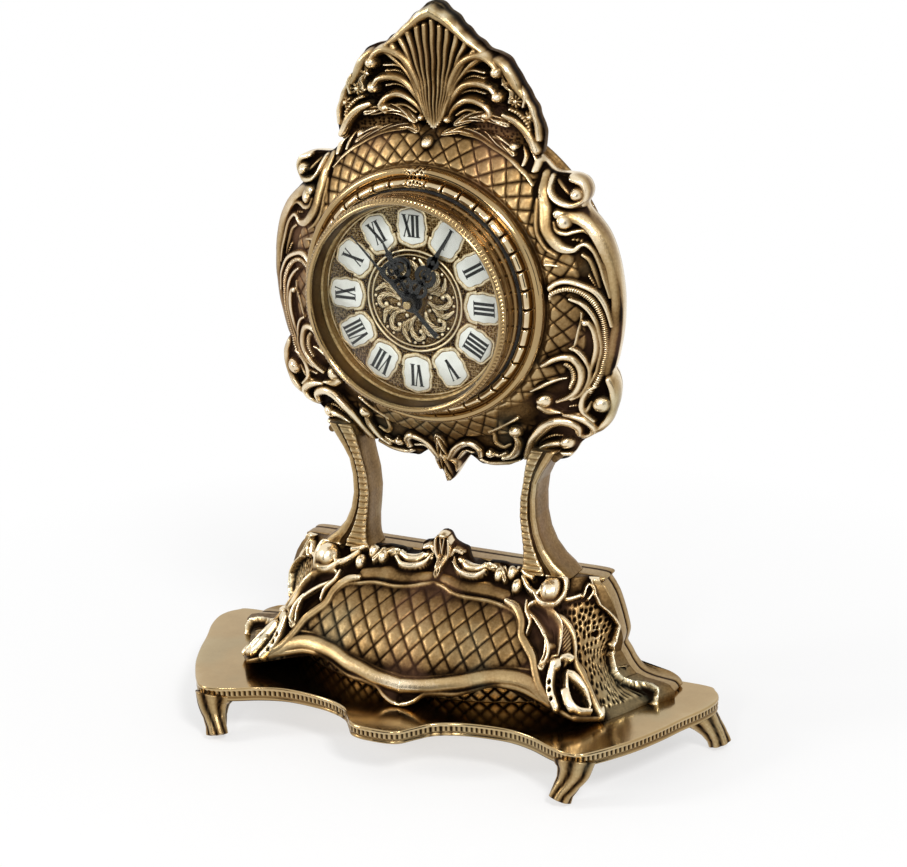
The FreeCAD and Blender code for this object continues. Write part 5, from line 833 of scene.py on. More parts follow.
def makePedestal(name, sideSign):
    part, share, rows = rowTable(*pedestal["spans"])
    low, top = spline(pedestal["lowEdge"], 6), spline(pedestal["topEdge"], 6)
    panelLow, panelTop = np.array(pedestal["panelBottom"]), np.array(pedestal["panelTop"][:-1])
    edge = np.array(bandFront)
    carving = bothSides(pedestalScrolls) + pedestalMiddle
    wall, seamY = pedestal["wall"], pedestal["seamY"]

    def place(u, j):
        k, s = part[j], share[j]
        way = u if sideSign > 0 else u - 1
        # the first part of each half sheet, up to the corner, lies on the front, the rest on the flank
        corner = pedestal["cornerShare"]
        onPanel = np.abs(way) <= corner

        def sheet(z):
            cornerX, cornerY, _, half = pedestalSection(z)
            long = np.hypot(half - cornerX, pedestal["rearY"] - cornerY)
            onFlank = cornerX + (np.abs(way) - corner) / (1 - corner) * long
            return np.where(onPanel, np.abs(way) / corner * cornerX, onFlank) * np.sign(way)

        bottomA = np.abs(sheet(np.full(u.shape, 26.0)))
        bottom = np.interp(bottomA, low[:, 0], low[:, 1], right=pedestal["footZ"])
        crownA = np.abs(sheet(np.full(u.shape, pedestal["shelfZ"])))
        crown = np.interp(crownA, top[:, 0], top[:, 1], right=pedestal["shelfZ"])
        z = np.where(k == 0, bottom + (crown - bottom) * s, crown)
        a = sheet(z)
        x, y = pedestalPoint(a, z)
        step = 0.05
        x1, y1 = pedestalPoint(a, z + step)
        x2, y2 = pedestalPoint(a + step, z)
        up = np.stack([x1 - x, y1 - y, np.full(x.shape, step)], 1)
        across = np.stack([x2 - x, y2 - y, np.zeros(x.shape)], 1)
        normal = unit(np.cross(across, up))
        size = np.abs(a)
        inPanel = (size < pedestal["panelHalf"]) & (z > np.interp(size, panelLow[:, 0], panelLow[:, 1])) & \
                  (z < np.interp(size, panelTop[:, 0], panelTop[:, 1]))
        bulge = np.clip(1 - (size / 56) ** 2, 0, 1) * np.clip(np.sin(np.pi * (z - 33) / 27), 0, 1)
        trellis = squareTrellis(a, z, pedestal["trellisPitch"]) ** 0.55
        rise = np.where(inPanel, trellis + bulge * pedestal["bulge"], 0)
        bandEdge = np.interp(z, edge[:, 1], edge[:, 0])
        stipple = (size > 56) & (size < bandEdge) & (z > 25.5) & (z < 60)
        rise = np.where(stipple, 0.5 - 1.9 * pits(size + z * 0.5, z * 0.9, pitch=2.2, size=0.55), rise)
        band = (size > 62) & (size >= bandEdge)
        lip = np.exp(-((size - bandEdge - 0.8) / 0.8) ** 2) * 1.3
        rise = carveAll(a, z, rise, carving, wobble=0.06)
        rise = np.where(band, np.maximum(rise * (size < bandEdge + 1), pedestal["bandRise"] + lip), rise)
        holeA, holeZ = pedestal["holeAt"]
        hole = np.hypot((size - holeA - (z - holeZ) * -0.7) / 1.8, (z - holeZ) / 1.2)
        rise = np.where(hole < 1, -pedestal["holeDepth"], rise)
        edgeFade = np.clip((crown - z) / 0.5, 0, 1) ** 0.5 * np.clip((z - bottom) / 0.5, 0, 1) ** 0.5
        rise = np.where(k == 0, rise, 0)
        spot = np.stack([x, y, z], 1) + normal * (rise * edgeFade)[:, None]

        # thickness: back from the crown to the shelf and the seam, then down inside the flank
        shelf = np.minimum(crown, pedestal["shelfZ"])
        shelfX, shelfY = pedestalPoint(sheet(shelf), shelf)
        backY = np.minimum(shelfY + wall, seamY)
        topBack = np.stack([shelfX * 0.99, backY, crown], 1)
        shelfBack = np.stack([shelfX * 0.99, backY, shelf], 1)
        seamTop = np.stack([shelfX * 0.99, seamY + 0 * backY, shelf], 1)
        seamLow = np.stack([shelfX * 0.96, seamY - 0.2 + 0 * backY, shelf - 3], 1)
        footX, footY = pedestalPoint(sheet(bottom), bottom)
        innerLow = np.stack([footX * 0.96, np.minimum(footY + wall, seamY), bottom], 1)
        frontTop, frontLow = np.stack([shelfX, shelfY, crown], 1), np.stack([footX, footY, bottom], 1)
        drop = shelf - 3 + (bottom - shelf + 3) * s
        dropX, dropY = pedestalPoint(sheet(drop), drop)
        innerY = np.minimum(seamY - 0.2, np.maximum(dropY + wall, seamY - 0.2 - 40 * s))
        surfaces = (blend(frontTop, topBack, s), blend(topBack, shelfBack, s), blend(shelfBack, seamTop, s),
                    blend(seamTop, seamLow, s), np.stack([dropX * 0.96, innerY, drop], 1),
                    blend(innerLow, frontLow, s))
        for index, surface in enumerate(surfaces, 1):
            spot = np.where((k == index)[:, None], surface, spot)
        return spot, rise

    gridPiece(name, pedestal["columns"], rows, place, replaced=("pedestal_front",), wrap=False,
              gain=0.5, level=0.42, reach=4)


def makePedestalBack():
    part, share, rows = rowTable(*pedestal["backSpans"])
    side = [(wide, high) for high, wide in flank]
    line = spline(side + [(40, 69), (0, 69), (-40, 69)] + [(-wide, high) for wide, high in side[::-1]]
                  + [(-50, 22), (0, 22), (50, 22)] + side[:1], 8)
    front, back, middleZ = pedestal["seamY"], pedestal["backY"], 45
    deep, edge = 9.3, 3.0

    def place(u, j):
        k, s = part[j], share[j]
        x, z = onLine(line, u)
        inset = byPart(k, 1 - s, 0, edge * (1 - np.cos(s * np.pi / 2)), edge)
        y = byPart(k, front, front + deep * s, front + deep + edge * np.sin(s * np.pi / 2), back)
        reach = byPart(k, s, 1, 1, 1 - s)
        x = x * (reach * (1 - inset * (k > 0) / 60))
        z = middleZ + (z - middleZ) * reach * (1 - inset * (k > 0) / 40)
        groove = 0.6 * np.exp(-((y - front - 6.5) / 0.7) ** 2) * (k == 1)
        return np.stack([x * (1 - groove / 75), y, z], 1), 0.2 - groove * 1.5

    gridPiece("pedestalBackShell", pedestal["backColumns"], rows, place, replaced=("pedestal_back",),
              gain=0.4, level=0.56)


makePedestalBack()
makePedestal("carvedPedestalRight", 1)
makePedestal("carvedPedestalLeft", -1)
print("pedestal carved")


# a dark lattice wall, set back under the arches of the pedestal

skirt = {
    "half": 79.4, "frontY": -8.6, "backY": 27.8, "low": 22.1, "high": 33.9, "pitch": 4.4, "wall": 2.4,
    "columns": 700, "spans": (40, 2, 4, 2),
}


def makeSkirt():
    part, share, rows = rowTable(*skirt["spans"])
    low, high, wall, frontY = skirt["low"], skirt["high"], skirt["wall"], skirt["frontY"]

    def place(u, j):
        k, s = part[j], share[j]
        x = (u - 0.5) * 2 * skirt["half"]
        z = byPart(k, low + (high - low) * s, high, high + (low - high) * s, low)
        front = frontY + (skirt["backY"] - wall - frontY) * (np.abs(x) / skirt["half"]) ** 2.2
        rise = squareTrellis(x, z, skirt["pitch"]) ** 0.5 * 1.3 - 1.3
        rise = np.where(k == 0, rise, 0) * np.clip((z - low) / 0.6, 0, 1) * np.clip((high - z) / 0.6, 0, 1)
        return np.stack([x, front - rise + wall * byPart(k, 0, s, 1, 1 - s), z], 1), rise

    gridPiece("latticeSkirt", skirt["columns"], rows, place, replaced=("pedestal_skirt",), wrap=False,
              gain=0.6, level=0.42)


makeSkirt()


# columns between the pedestal and the head

column = {
    "heights": [69.2, 72, 75, 80, 86, 93, 101, 108, 113, 118, 122.5],
    "inner": [33, 34.5, 35, 35.2, 34.6, 34, 34.6, 36.2, 37, 38, 40],
    "outer": [57.5, 54.5, 50.5, 46.2, 43.4, 42, 42, 43, 45.6, 49, 52],
    "front": [22.2, 22.2, 22.4, 22.8, 23.2, 23.4, 23.2, 22.8, 22.4, 22.2, 22.2],
    "back": 37.8, "columns": 180, "rows": 220,
}


def makeColumn(name, side, replaced):
    rows = column["rows"]

    def place(u, j):
        heights = column["heights"]
        z = heights[0] + (heights[-1] - heights[0]) * (j / rows)
        inner, outer, front = (np.interp(z, heights, column[key]) for key in ("inner", "outer", "front"))
        middleX, middleY = (inner + outer) / 2, (front + column["back"]) / 2
        halfX, halfY = (outer - inner) / 2, (column["back"] - front) / 2
        turn = u * 2 * np.pi
        c, n = np.cos(turn), np.sin(turn)
        power = 5  # a square section with rounded corners
        size = (np.abs(c) ** power + np.abs(n) ** power) ** (-1 / power)
        x, y = middleX + halfX * c * size, middleY + halfY * n * size
        across = np.clip((x - middleX) / halfX, -1, 1)
        square = np.abs(c) < np.abs(n) * 1.02
        facing = (n < 0) & square
        # a notched strip, a groove and a rounded lip on the front, hollow flanks
        notch = 0.5 * (1 - np.abs(np.sin(np.pi * z / 2.7)) ** 0.5)
        rise = np.where(facing & (across < 0.1), 0.7 - 1.1 * notch, 0)
        rise = np.where(facing & (np.abs(across - 0.16) < 0.14), -0.5, rise)
        lip = 0.5 * np.sin(np.clip((across - 0.4) / 0.6, 0, 1) * np.pi)
        rise = np.where(facing & (across > 0.4), lip, rise)
        rise = np.where(square, rise, -0.5 * np.clip(1 - (n * 1.1) ** 2, 0, 1))
        y = y - np.where(facing, rise, 0)
        x = x + np.where(square, 0, np.sign(c) * rise)
        return np.stack([x * side, y, z], 1), rise

    gridPiece(name, column["columns"], rows, place, replaced=(replaced,), gain=0.5, level=0.58, reach=3)


makeColumn("columnLeft", -1, "column_left")
makeColumn("columnRight", 1, "column_right")
print("columns shaped")


# foot plate with a notched rim, and its four feet

plate = {
    "low": 16, "high": 22, "middle": (0, 12), "notch": 2.1, "columns": 1500, "spans": (26, 14, 2),
    "outline": [(0, -45), (6, -44.6), (11, -42.6), (15, -37.4), (20, -31.4), (28, -27.4), (38, -25.2),
        (51, -24.5), (62, -27.2), (72, -32), (80, -35), (86, -34), (91, -28.6), (96, -21), (101, -12),
        (106, 0), (110, 12), (114.6, 24), (116, 34), (112.4, 41.6), (104, 45), (60, 45), (0, 45)],
}


def makePlate():
    part, share, rows = rowTable(*plate["spans"])
    steps = plate["spans"][1]
    line = spline(mirrored(plate["outline"]), 10)
    middleX, middleY = plate["middle"]
    count = round(runOf(line)[-1] / plate["notch"])

    def place(u, j):
        k, s = part[j], share[j]
        x, y = onLine(line, u)
        y = np.minimum(y, 45)
        far = np.hypot(x - middleX, y - middleY)
        notch = 1 - np.abs(np.sin(np.pi * u * count)) ** 0.7
        # upper rounded edge, a notched band, a hollow and a lower bead
        turn = s * steps
        reach = np.interp(turn, [0, 1, 2, 3, 4, 6, 8, 9, 10, 11, 12, 13, 14],
                          [0.5, 0.1, 0, 0, 0.2, 0.2, 0.2, 0.6, 0.9, 0.7, 0.3, 0.4, 1.2])
        band = (k == 1) & (turn > 3.5) & (turn < 8.5) & (y < 40)
        cut = np.where(band, notch * 0.75, 0)
        inset = byPart(k, np.maximum(far * (1 - s) ** 1.6, 0.5), reach + cut, np.maximum(far * s, 1.2))
        scale = 1 - inset / far
        drop = np.interp(turn, [0, steps], [0, plate["high"] - plate["low"]])
        z = byPart(k, plate["high"], plate["high"] - drop, plate["low"])
        # the rim's shade is darker in the notches and in the hollow, partly patina and partly painted shade,
        # with darker marks painted on the front lobes
        shade = np.where(k == 1, -cut * 1.4 - reach * 0.5, 0.1)
        lobe = np.exp(-((np.abs(x) - 22) / 6) ** 2) * (y < 0)
        leaf = 0.5 * lobe * (1 - np.abs(np.sin(np.pi * u * count * 0.5)))
        shade = shade - np.where((k == 1) & (turn > 2), leaf, 0)
        return np.stack([middleX + (x - middleX) * scale, middleY + (y - middleY) * scale, z], 1), shade

    gridPiece("footPlate", plate["columns"], rows, place, finish="plateBrass", replaced=("foot_plate",),
              gain=0.6, level=0.6, reach=2.5)


feet = {
    "front": {
        "path": [(81.5, -29.5, 17.5), (81.5, -31, 13), (80, -33, 8.5), (78.4, -35, 5), (77.4, -36.4, 1.4)],
        "wide": [9.0, 7.2, 5.2, 4.6, 4.9], "deep": [8.0, 6.4, 4.8, 4.2, 4.2], "level": 0.52,
    },
    "rear": {
        "path": [(105, 32.5, 17.5), (109, 33.5, 13.5), (112.6, 34.6, 9), (115.2, 35.2, 5),
                 (116.6, 35.5, 1.4)],
        "wide": [8.0, 7.0, 5.4, 4.8, 5.0], "deep": [8.4, 6.8, 5.0, 4.4, 4.4], "level": 0.55,
    },
    "flutes": 7, "fluteDepth": 0.9, "outermost": 122.5, "lowest": 0.05, "highest": 20,
    "columns": 40, "rows": 90,
}


def makeFoot(name, foot, side, replaced):
    rows = feet["rows"]
    path = np.array(foot["path"], float)
    line = np.hstack([spline(path[:, :2], 12), spline(path[:, 1:], 12)[:, 1:]])

    def read(s, values):
        return np.interp(s, np.linspace(0, 1, len(values)), values)

    def centre(s):
        return np.stack([read(s, line[:, axis]) for axis in range(3)], 1)

    def place(u, j):
        s, step = j / rows, 0.01
        ahead = unit(centre(s + step) - centre(s - step))
        across = unit(np.cross(ahead, np.array([[0.0, 1.0, 0.0]])))
        other = np.cross(across, ahead)
        turn = u * 2 * np.pi
        cap = np.sqrt(np.clip(1 - np.clip((s - 0.94) / 0.06, 0, 1) ** 2, 0, 1))
        cap = cap * np.sqrt(np.clip(1 - np.clip((0.03 - s) / 0.03, 0, 1) ** 2, 0, 1))
        wave = -feet["fluteDepth"] * (1 - np.abs(np.cos(turn * feet["flutes"] / 2 + 2.6 * s)) ** 0.6)
        spot = centre(s) + (across * (np.cos(turn) * (read(s, foot["wide"]) + wave) * cap)[:, None]
                            + other * (np.sin(turn) * (read(s, foot["deep"]) + wave) * cap)[:, None])
        spot[:, 0] = np.minimum(spot[:, 0], feet["outermost"]) * side
        spot[:, 2] = np.clip(spot[:, 2], feet["lowest"], feet["highest"])
        return spot, wave

    gridPiece(name, feet["columns"], rows, place, replaced=(replaced,), gain=0.6, level=foot["level"])


makePlate()
for sideName, side in (("Left", -1), ("Right", 1)):
    for end in ("front", "rear"):
        makeFoot("foot" + end.capitalize() + sideName, feet[end], side,
                 "foot_" + end + "_" + sideName.lower())
print("foot plate and feet made")


# turned rings round the dial; each profile is radius and depth, from the bore outwards

collar = {
    "beads": (44.5, 48.3, 38), "fall": 0.12, "dark": 0, "columns": 1056, "gain": 0.4, "level": 0.66,
    "profile": [(44.3, 15), (44.2, 10.6), (44.5, 9.8), (45.2, 9.2), (46.3, 8.9), (47.4, 9.6), (48.1, 10.8),
        (48.5, 11.6), (48.9, 11), (49.6, 10.1), (50.6, 9.9), (51.6, 10.4), (52.2, 11.6), (52.4, 13.2),
        (52, 14.8), (51.7, 15.8), (51.7, 20.4), (49.5, 20.4), (49.5, 16.4), (47, 16)],
}
bezel = {
    "fine": (43.3, 170), "fall": 0.03, "dark": 0.7, "columns": 900, "gain": 0.3, "level": 0.6,
    "profile": [(39.9, 1.2), (39.9, 0.2), (40.4, -2), (40.9, -4.2), (41.3, -5.3), (41.9, -5.9), (42.5, -5.7),
        (42.9, -5), (43.1, -4.7), (43.6, -4.3), (43.9, -3.6), (43.9, -2.6), (43.5, -1.8), (43.4, 0),
        (43.7, 2.4), (43.4, 5), (43.9, 6.2), (43.9, 7.9), (42.5, 7.9), (42.5, 2.2), (41, 1.8)],
}


def makeRing(name, settings, replaced):
    line = spline(settings["profile"] + settings["profile"][:1], 4)
    beads, fine, dark = settings.get("beads"), settings.get("fine"), settings["dark"]

    def place(u, j):
        turn = u * 2 * np.pi
        r, y = line[j, 0], line[j, 1]
        x, z = r * np.cos(turn), r * np.sin(turn)
        rise = np.zeros(u.shape)
        facing = y < 14
        if beads:
            inner, outer, count = beads
            across = (r - (inner + outer) / 2) / ((outer - inner) / 2)
            step = (u * count) % 1
            cut = np.exp(-(np.minimum(step, 1 - step) / 0.05) ** 2)
            barrel = np.sqrt(np.clip(1 - (2 * step - 1) ** 4, 0, 1))
            bulge = (barrel * 0.9 - 1.5 * cut) * np.sqrt(np.clip(1 - across ** 2, 0, 1))
            rise = np.where((np.abs(across) < 1) & facing, bulge, rise)
            # a small cluster of pearls at the top
            near = np.exp(-(((u - 0.25) * 360) / 5) ** 4) * (r > 44.4) * facing
            rise = rise * (1 - near) + near * (0.5 - 1.6 * pits(x, z, pitch=1.9, size=0.55))
        if fine:
            inRow = (np.abs(r - fine[0]) < 0.5) & (y < -4)
            rise = np.where(inRow, 0.6 * np.abs(np.sin(np.pi * u * fine[1])) - 0.2, rise)
        # painted shade: each ring goes darker the deeper a point lies and darkest on its back, and the
        # bezel's inner cone is darkened; a narrow band at the front of the lip is painted lighter
        shade = np.where(facing, -(y - y.min()) * settings["fall"], -1) - dark * (r < 41.2) * (y > -4.4)
        shade = shade + dark * np.exp(-((r - 41.9) / 0.8) ** 2) * (y < -4.4)
        return atDial(x, y - rise, z), rise + shade

    gridPiece(name, settings["columns"], len(line) - 1, place, "polishedBrass", replaced,
              gain=settings["gain"], level=settings["level"], reach=3)


makeRing("beadedCollar", collar, ("collar",))
makeRing("glassBezel", bezel, ("bezel",))
print("rings turned")


# dial: enamel plaques with numerals, a floral boss and pierced hands

dial = {
    "faceY": 5.3, "ringRadius": 30.2, "plaqueWide": 5.6, "plaqueTall": 6.9, "plaqueThick": 0.75,
    "numeralTall": 4.4, "numeralWide": 8.2, "inner": 4.3, "outer": 42.2, "thick": 0.95, "bossRadius": 19.4,
    "columns": 560, "spans": (170, 1, 3),
    "numerals": ["XII", "I", "II", "III", "IIII", "V", "VI", "VII", "VIII", "IX", "X", "XI"],
}
glyphs = {  # strokes as (x start, x end, width) from foot to head, and the glyph's width
    "I": ([(0, 0, 1.25)], 1.98),
    "V": ([(0, -1.25, 1.2), (0, 1.3, 0.45)], 3.3),
    "X": ([(1.25, -1.25, 1.2), (-1.25, 1.25, 0.45)], 3.3),
}


def turnAboutDial(mesh, turn, verts):
    bmesh.ops.rotate(mesh, cent=(0, 0, 0), matrix=Matrix.Rotation(turn, 3, "Y"), verts=verts)


def ontoClock(mesh):  # from millimetres about the dial's middle to metres above the floor
    bmesh.ops.scale(mesh, vec=(0.001, 0.001, 0.001), verts=mesh.verts)
    bmesh.ops.translate(mesh, vec=(0, 0, dialHeight / 1000), verts=mesh.verts)


def extruded(mesh, verts):
    faces = list({face for vert in verts for face in vert.link_faces})
    grown = bmesh.ops.extrude_face_region(mesh, geom=faces)["geom"]
    kinds = bmesh.types.BMVert, bmesh.types.BMFace
    return [[item for item in grown if isinstance(item, kind)] for kind in kinds]


def addBar(mesh, start, finish, width, front, back, turn):
    made = bmesh.ops.create_cube(mesh, size=1)["verts"]
    start, finish = Vector(start), Vector(finish)
    bmesh.ops.scale(mesh, vec=(width, back - front, (finish - start).length), verts=made)
    turnAboutDial(mesh, math.atan2(finish.x - start.x, finish.y - start.y), made)
    middle = (start + finish) / 2
    bmesh.ops.translate(mesh, vec=(middle.x, (front + back) / 2, middle.y), verts=made)
    turnAboutDial(mesh, turn, made)


def makeNumerals():
    mesh = bmesh.new()
    face = dial["faceY"] - dial["plaqueThick"]
    footZ, topZ = (dial["ringRadius"] + way * dial["numeralTall"] + 0.4 for way in (-1, 1))
    for index, word in enumerate(dial["numerals"]):
        turn = math.radians(index * 30)
        total = sum(glyphs[letter][1] for letter in word)
        squeeze = min(1, dial["numeralWide"] / total)
        cursor = -total * squeeze / 2
        for letter in word:
            bars, wide = glyphs[letter]
            centre = cursor + wide * squeeze / 2
            for start, finish, width in bars:
                low, high = (centre + start * squeeze, footZ), (centre + finish * squeeze, topZ)
                addBar(mesh, low, high, width * squeeze, face - 0.1, face + 0.1, turn)
                serif = width * squeeze * 0.85
                for x, z in (high,) if letter == "V" else (low, high):
                    addBar(mesh, (x - serif, z), (x + serif, z), 0.32, face - 0.09, face + 0.09, turn)
            cursor += wide * squeeze
    ontoClock(mesh)
    finishPiece("romanNumerals", mesh, "ink", smooth=False)


def plaqueReach(turn):
    # scalloped outline; turn is from the plaque's own right
    c, n = np.cos(turn), np.sin(turn)
    wide, tall, power = dial["plaqueWide"], dial["plaqueTall"], 3.2
    base = 1 / np.maximum((np.abs(c / wide) ** power + np.abs(n / tall) ** power) ** (1 / power), 1e-6)
    return base * (1 + 0.035 * np.cos(8 * turn))


def makePlaques():
    mesh = bmesh.new()
    bevel = 0.25
    for index in range(12):
        known = set(mesh.verts)
        ring = bmesh.ops.create_circle(mesh, cap_ends=True, segments=72, radius=1)["verts"]
        for vert in ring:
            turn = math.atan2(vert.co.y, vert.co.x)
            reach = float(plaqueReach(np.array(turn)))
            vert.co = (math.cos(turn) * reach, dial["faceY"], math.sin(turn) * reach)
        raised, tops = extruded(mesh, ring)
        bmesh.ops.translate(mesh, vec=(0, -dial["plaqueThick"] + bevel, 0), verts=raised)
        bmesh.ops.inset_region(mesh, faces=tops, thickness=0.3, depth=0)
        rim = list({vert for face in tops for vert in face.verts})
        bmesh.ops.translate(mesh, vec=(0, -bevel, 0), verts=rim)
        whole = [vert for vert in mesh.verts if vert not in known]
        bmesh.ops.translate(mesh, vec=(0, 0, dial["ringRadius"]), verts=whole)
        turnAboutDial(mesh, math.radians(index * 30), whole)
    bmesh.ops.recalc_face_normals(mesh, faces=mesh.faces)
    ontoClock(mesh)
    finishPiece("enamelPlaques", mesh, "enamel", replaced=("hour_cartouches",))


bossLeaves = [  # one eighth of the boss
    stroke([(0, 6.4), (1.7, 9.6), (1.4, 13.2), (-1, 15.6), (-3.4, 14.4), (-2.8, 12)],
        [0.7, 1.1, 1.3, 1.1, 0.8], 0.75, "leaf", 0.9),
    knob(-2.5, 12.4, 1, 0.95),
    stroke([(2.6, 8), (4.7, 11), (4.5, 14.4), (2.6, 17)], [0.6, 1.1, 1.1, 0.5], 0.65, "leaf", 0.8),
    knob(0.4, 17.2, 0.7, 0.7),
    knob(-3.2, 17, 0.6, 0.6),
    knob(3.4, 6.4, 0.9, 0.7),
    stroke([(0.8, 7), (3.2, 9.4), (3.4, 12.4)], [0.4, 0.8, 0.5], 0.5, "leaf", 0.8),
    stroke([(-4.6, 8.6), (-3.4, 10.4), (-4.4, 12.4), (-5.8, 13.8)], [0.4, 0.7, 0.7, 0.4], 0.5),
]


def bossStrokes():
    result = []
    for index in range(8):
        c, n = math.cos(index * math.pi / 4), math.sin(index * math.pi / 4)
        result += moved(bossLeaves, lambda a, b: (a * c - b * n, a * n + b * c))
    return result


def makeDialFace():
    part, share, rows = rowTable(*dial["spans"])
    inner, outer, backY = dial["inner"], dial["outer"], dial["faceY"] + dial["thick"]

    def place(u, j):
        turn = u * 2 * np.pi
        k, s = part[j], share[j]
        r = byPart(k, inner + (outer - inner) * s, outer, outer + (inner - outer) * s)
        x, z = r * np.cos(turn), r * np.sin(turn)
        grain = pits(x, z, pitch=0.9, size=0.3)
        # place of each point about the plaque nearest to it
        clock = np.degrees(np.arctan2(x, z)) % 30
        clock = np.minimum(clock, 30 - clock)
        side = r * np.sin(np.radians(clock))
        out = r * np.cos(np.radians(clock)) - dial["ringRadius"]
        gap = np.hypot(side, out) - plaqueReach(np.arctan2(out, side))
        rim = np.exp(-((gap - 0.6) / 0.6) ** 2) * 0.42 - 0.12 * grain
        foot = np.exp(-((gap - 0.9) / 1.0) ** 2) * 0.6 * (out < -3.0) - 0.1 * grain
        rise = np.maximum(0.14 - 0.36 * grain, np.maximum(rim, foot))
        for radius, wide, lift in ((20.6, 0.5, 0.5), (18.7, 0.3, 0.35), (12.6, 0.35, 0.4), (38.7, 0.35, 0.3)):
            rise = np.maximum(rise, np.exp(-((r - radius) / wide) ** 2) * lift)
        near = np.nonzero(r < dial["bossRadius"])[0]
        nearX, nearZ = x[near], z[near]
        ground = 0.12 - 0.4 * pits(nearX + 40, nearZ, pitch=0.8, size=0.27)
        boss = carveAll(nearX, nearZ, ground, bossStrokes())
        boss = boss - 0.16 * pits(nearX, nearZ + 30, pitch=0.75, size=0.24)
        boss = boss + 0.12 * np.sin(nearX * 7) * np.sin(nearZ * 8)
        rise[near] = np.maximum(rise[near] * (r[near] > 18.2), boss)
        rise = np.where(k == 0, rise, 0)
        y = byPart(k, dial["faceY"] - rise, backY, dial["faceY"] + dial["thick"] * (1 - s))
        return atDial(x, y, z), rise * 3

    gridPiece("dialFace", dial["columns"], rows, place, finish="dialBrass",
              replaced=("dial_plate", "dial_medallion"), gain=0.72, level=0.54, reach=2.5)


def ribbon(mesh, path, width, front, back):
    line = spline(path, 5)
    last = len(line) - 1
    step = np.gradient(line, axis=0)
    step /= np.maximum(np.hypot(*step.T), 1e-9)[:, None]
    side = np.stack([-step[:, 1], step[:, 0]], 1)
    wide = along(width, np.linspace(0, 1, len(line)))[:, None] / 2
    made = bmesh.ops.create_grid(mesh, x_segments=last, y_segments=1, size=0.5)["verts"]
    for vert in made:
        i = round((vert.co.x + 0.5) * last)
        spot = line[i] + side[i] * wide[i] * (1 if vert.co.y > 0 else -1)
        vert.co = (spot[0], front, spot[1])
    bmesh.ops.translate(mesh, vec=(0, back - front, 0), verts=extruded(mesh, made)[0])


hands = {  # each ribbon is a path and its widths
    "second": {
        "front": 0.05, "back": 0.35, "angle": 316, "hub": 3,
        "ribbons": [
            ([(0, 0), (0, 18), (0, 35.4)], [1.7, 1.1, 0.4]),
            ([(0, 0), (0, -9), (0, -17)], [1.3, 1.8, 2.3]),
        ],
    },
    "hour": {
        "front": 2.4, "back": 2.8, "angle": 333, "hub": 4.2,
        "ribbons": [
            ([(0, 2.6), (0, 7), (0, 13)], [2.4, 1.7, 1.6]),
            ([(0, 12), (0, 18), (0, 22), (0, 27.2)], [2.2, 2.6, 1.5, 0.3]),
            ([(0, 3.6), (3.2, 6), (3.4, 9), (0, 11)], 1.5),
            ([(0, 9.8), (4.2, 10.8), (5.9, 14), (4.4, 17), (1.2, 17.8)], 1.7),
            ([(0, 14), (2.8, 13.2), (3.1, 15.4), (0.6, 16.6)], 1.2),
            ([(5.4, 12.4), (6.7, 15), (5.4, 17.6)], 1.2),
            ([(1.2, 7.4), (2.6, 7.8)], 1.2),
            ([(0.6, 20.6), (1.5, 21.4)], 1.2),
        ],
    },
    "minute": {
        "front": 1.2, "back": 1.6, "angle": 31, "hub": 3.6,
        "ribbons": [
            ([(0, 2.4), (0, 8), (0, 15)], [2.4, 1.7, 1.5]),
            ([(0, 15), (0, 22), (0, 27), (0, 34.6)], [2, 2.4, 1.3, 0.4]),
            ([(0, 3.8), (3, 5.8), (2.9, 8.8), (0, 10.2)], 1.4),
            ([(0, 10), (3.1, 11.6), (3.6, 14.8), (1.4, 17.2)], 1.8),
            ([(0, 12.8), (1.7, 13.6), (1.2, 15.6)], 1.1),
            ([(0, 18), (1.9, 20.4), (0, 23.2)], 1.7),
        ],
    },
}


def makeHand(name, settings, body, node):
    mesh = bmesh.new()
    front, back, hub = settings["front"] + 0.01, settings["back"] - 0.01, settings["hub"]
    for path, width in settings["ribbons"]:
        ribbon(mesh, path, width, front, back)
        if max(abs(x) for x, z in path) > 0:
            ribbon(mesh, [(-x, z) for x, z in path], width, front, back)
    disc = bmesh.ops.create_cone(mesh, cap_ends=True, segments=32, radius1=hub, radius2=hub,
                                 depth=back - front)["verts"]
    bmesh.ops.rotate(mesh, cent=(0, 0, 0), matrix=Matrix.Rotation(math.pi / 2, 3, "X"), verts=disc)
    bmesh.ops.translate(mesh, vec=(0, (front + back) / 2, 0), verts=disc)
    bmesh.ops.recalc_face_normals(mesh, faces=mesh.faces)
    turnAboutDial(mesh, math.radians(settings["angle"]), mesh.verts)
    ontoClock(mesh)
    finishPiece(name, mesh, "blackSteel", body, (node,), smooth=False)


makeDialFace()
makePlaques()
makeNumerals()
makeHand("hourHandLace", hands["hour"], "hours", "hour_hand")
makeHand("minuteHandLace", hands["minute"], "minutes", "minute_hand")
makeHand("secondHandBlade", hands["second"], "seconds", "second_hand")
print("dial finished")


# camera, floor and light

camera = {  # degrees; focal length and offset of the aim in pixels
    "place": (522.4, -993.2, 525.7), "azimuth": 27.09, "elevation": 18.13, "roll": -1.89, "lens": 118.76,
    "focal": 2992, "aim": (10, -64.6),
}


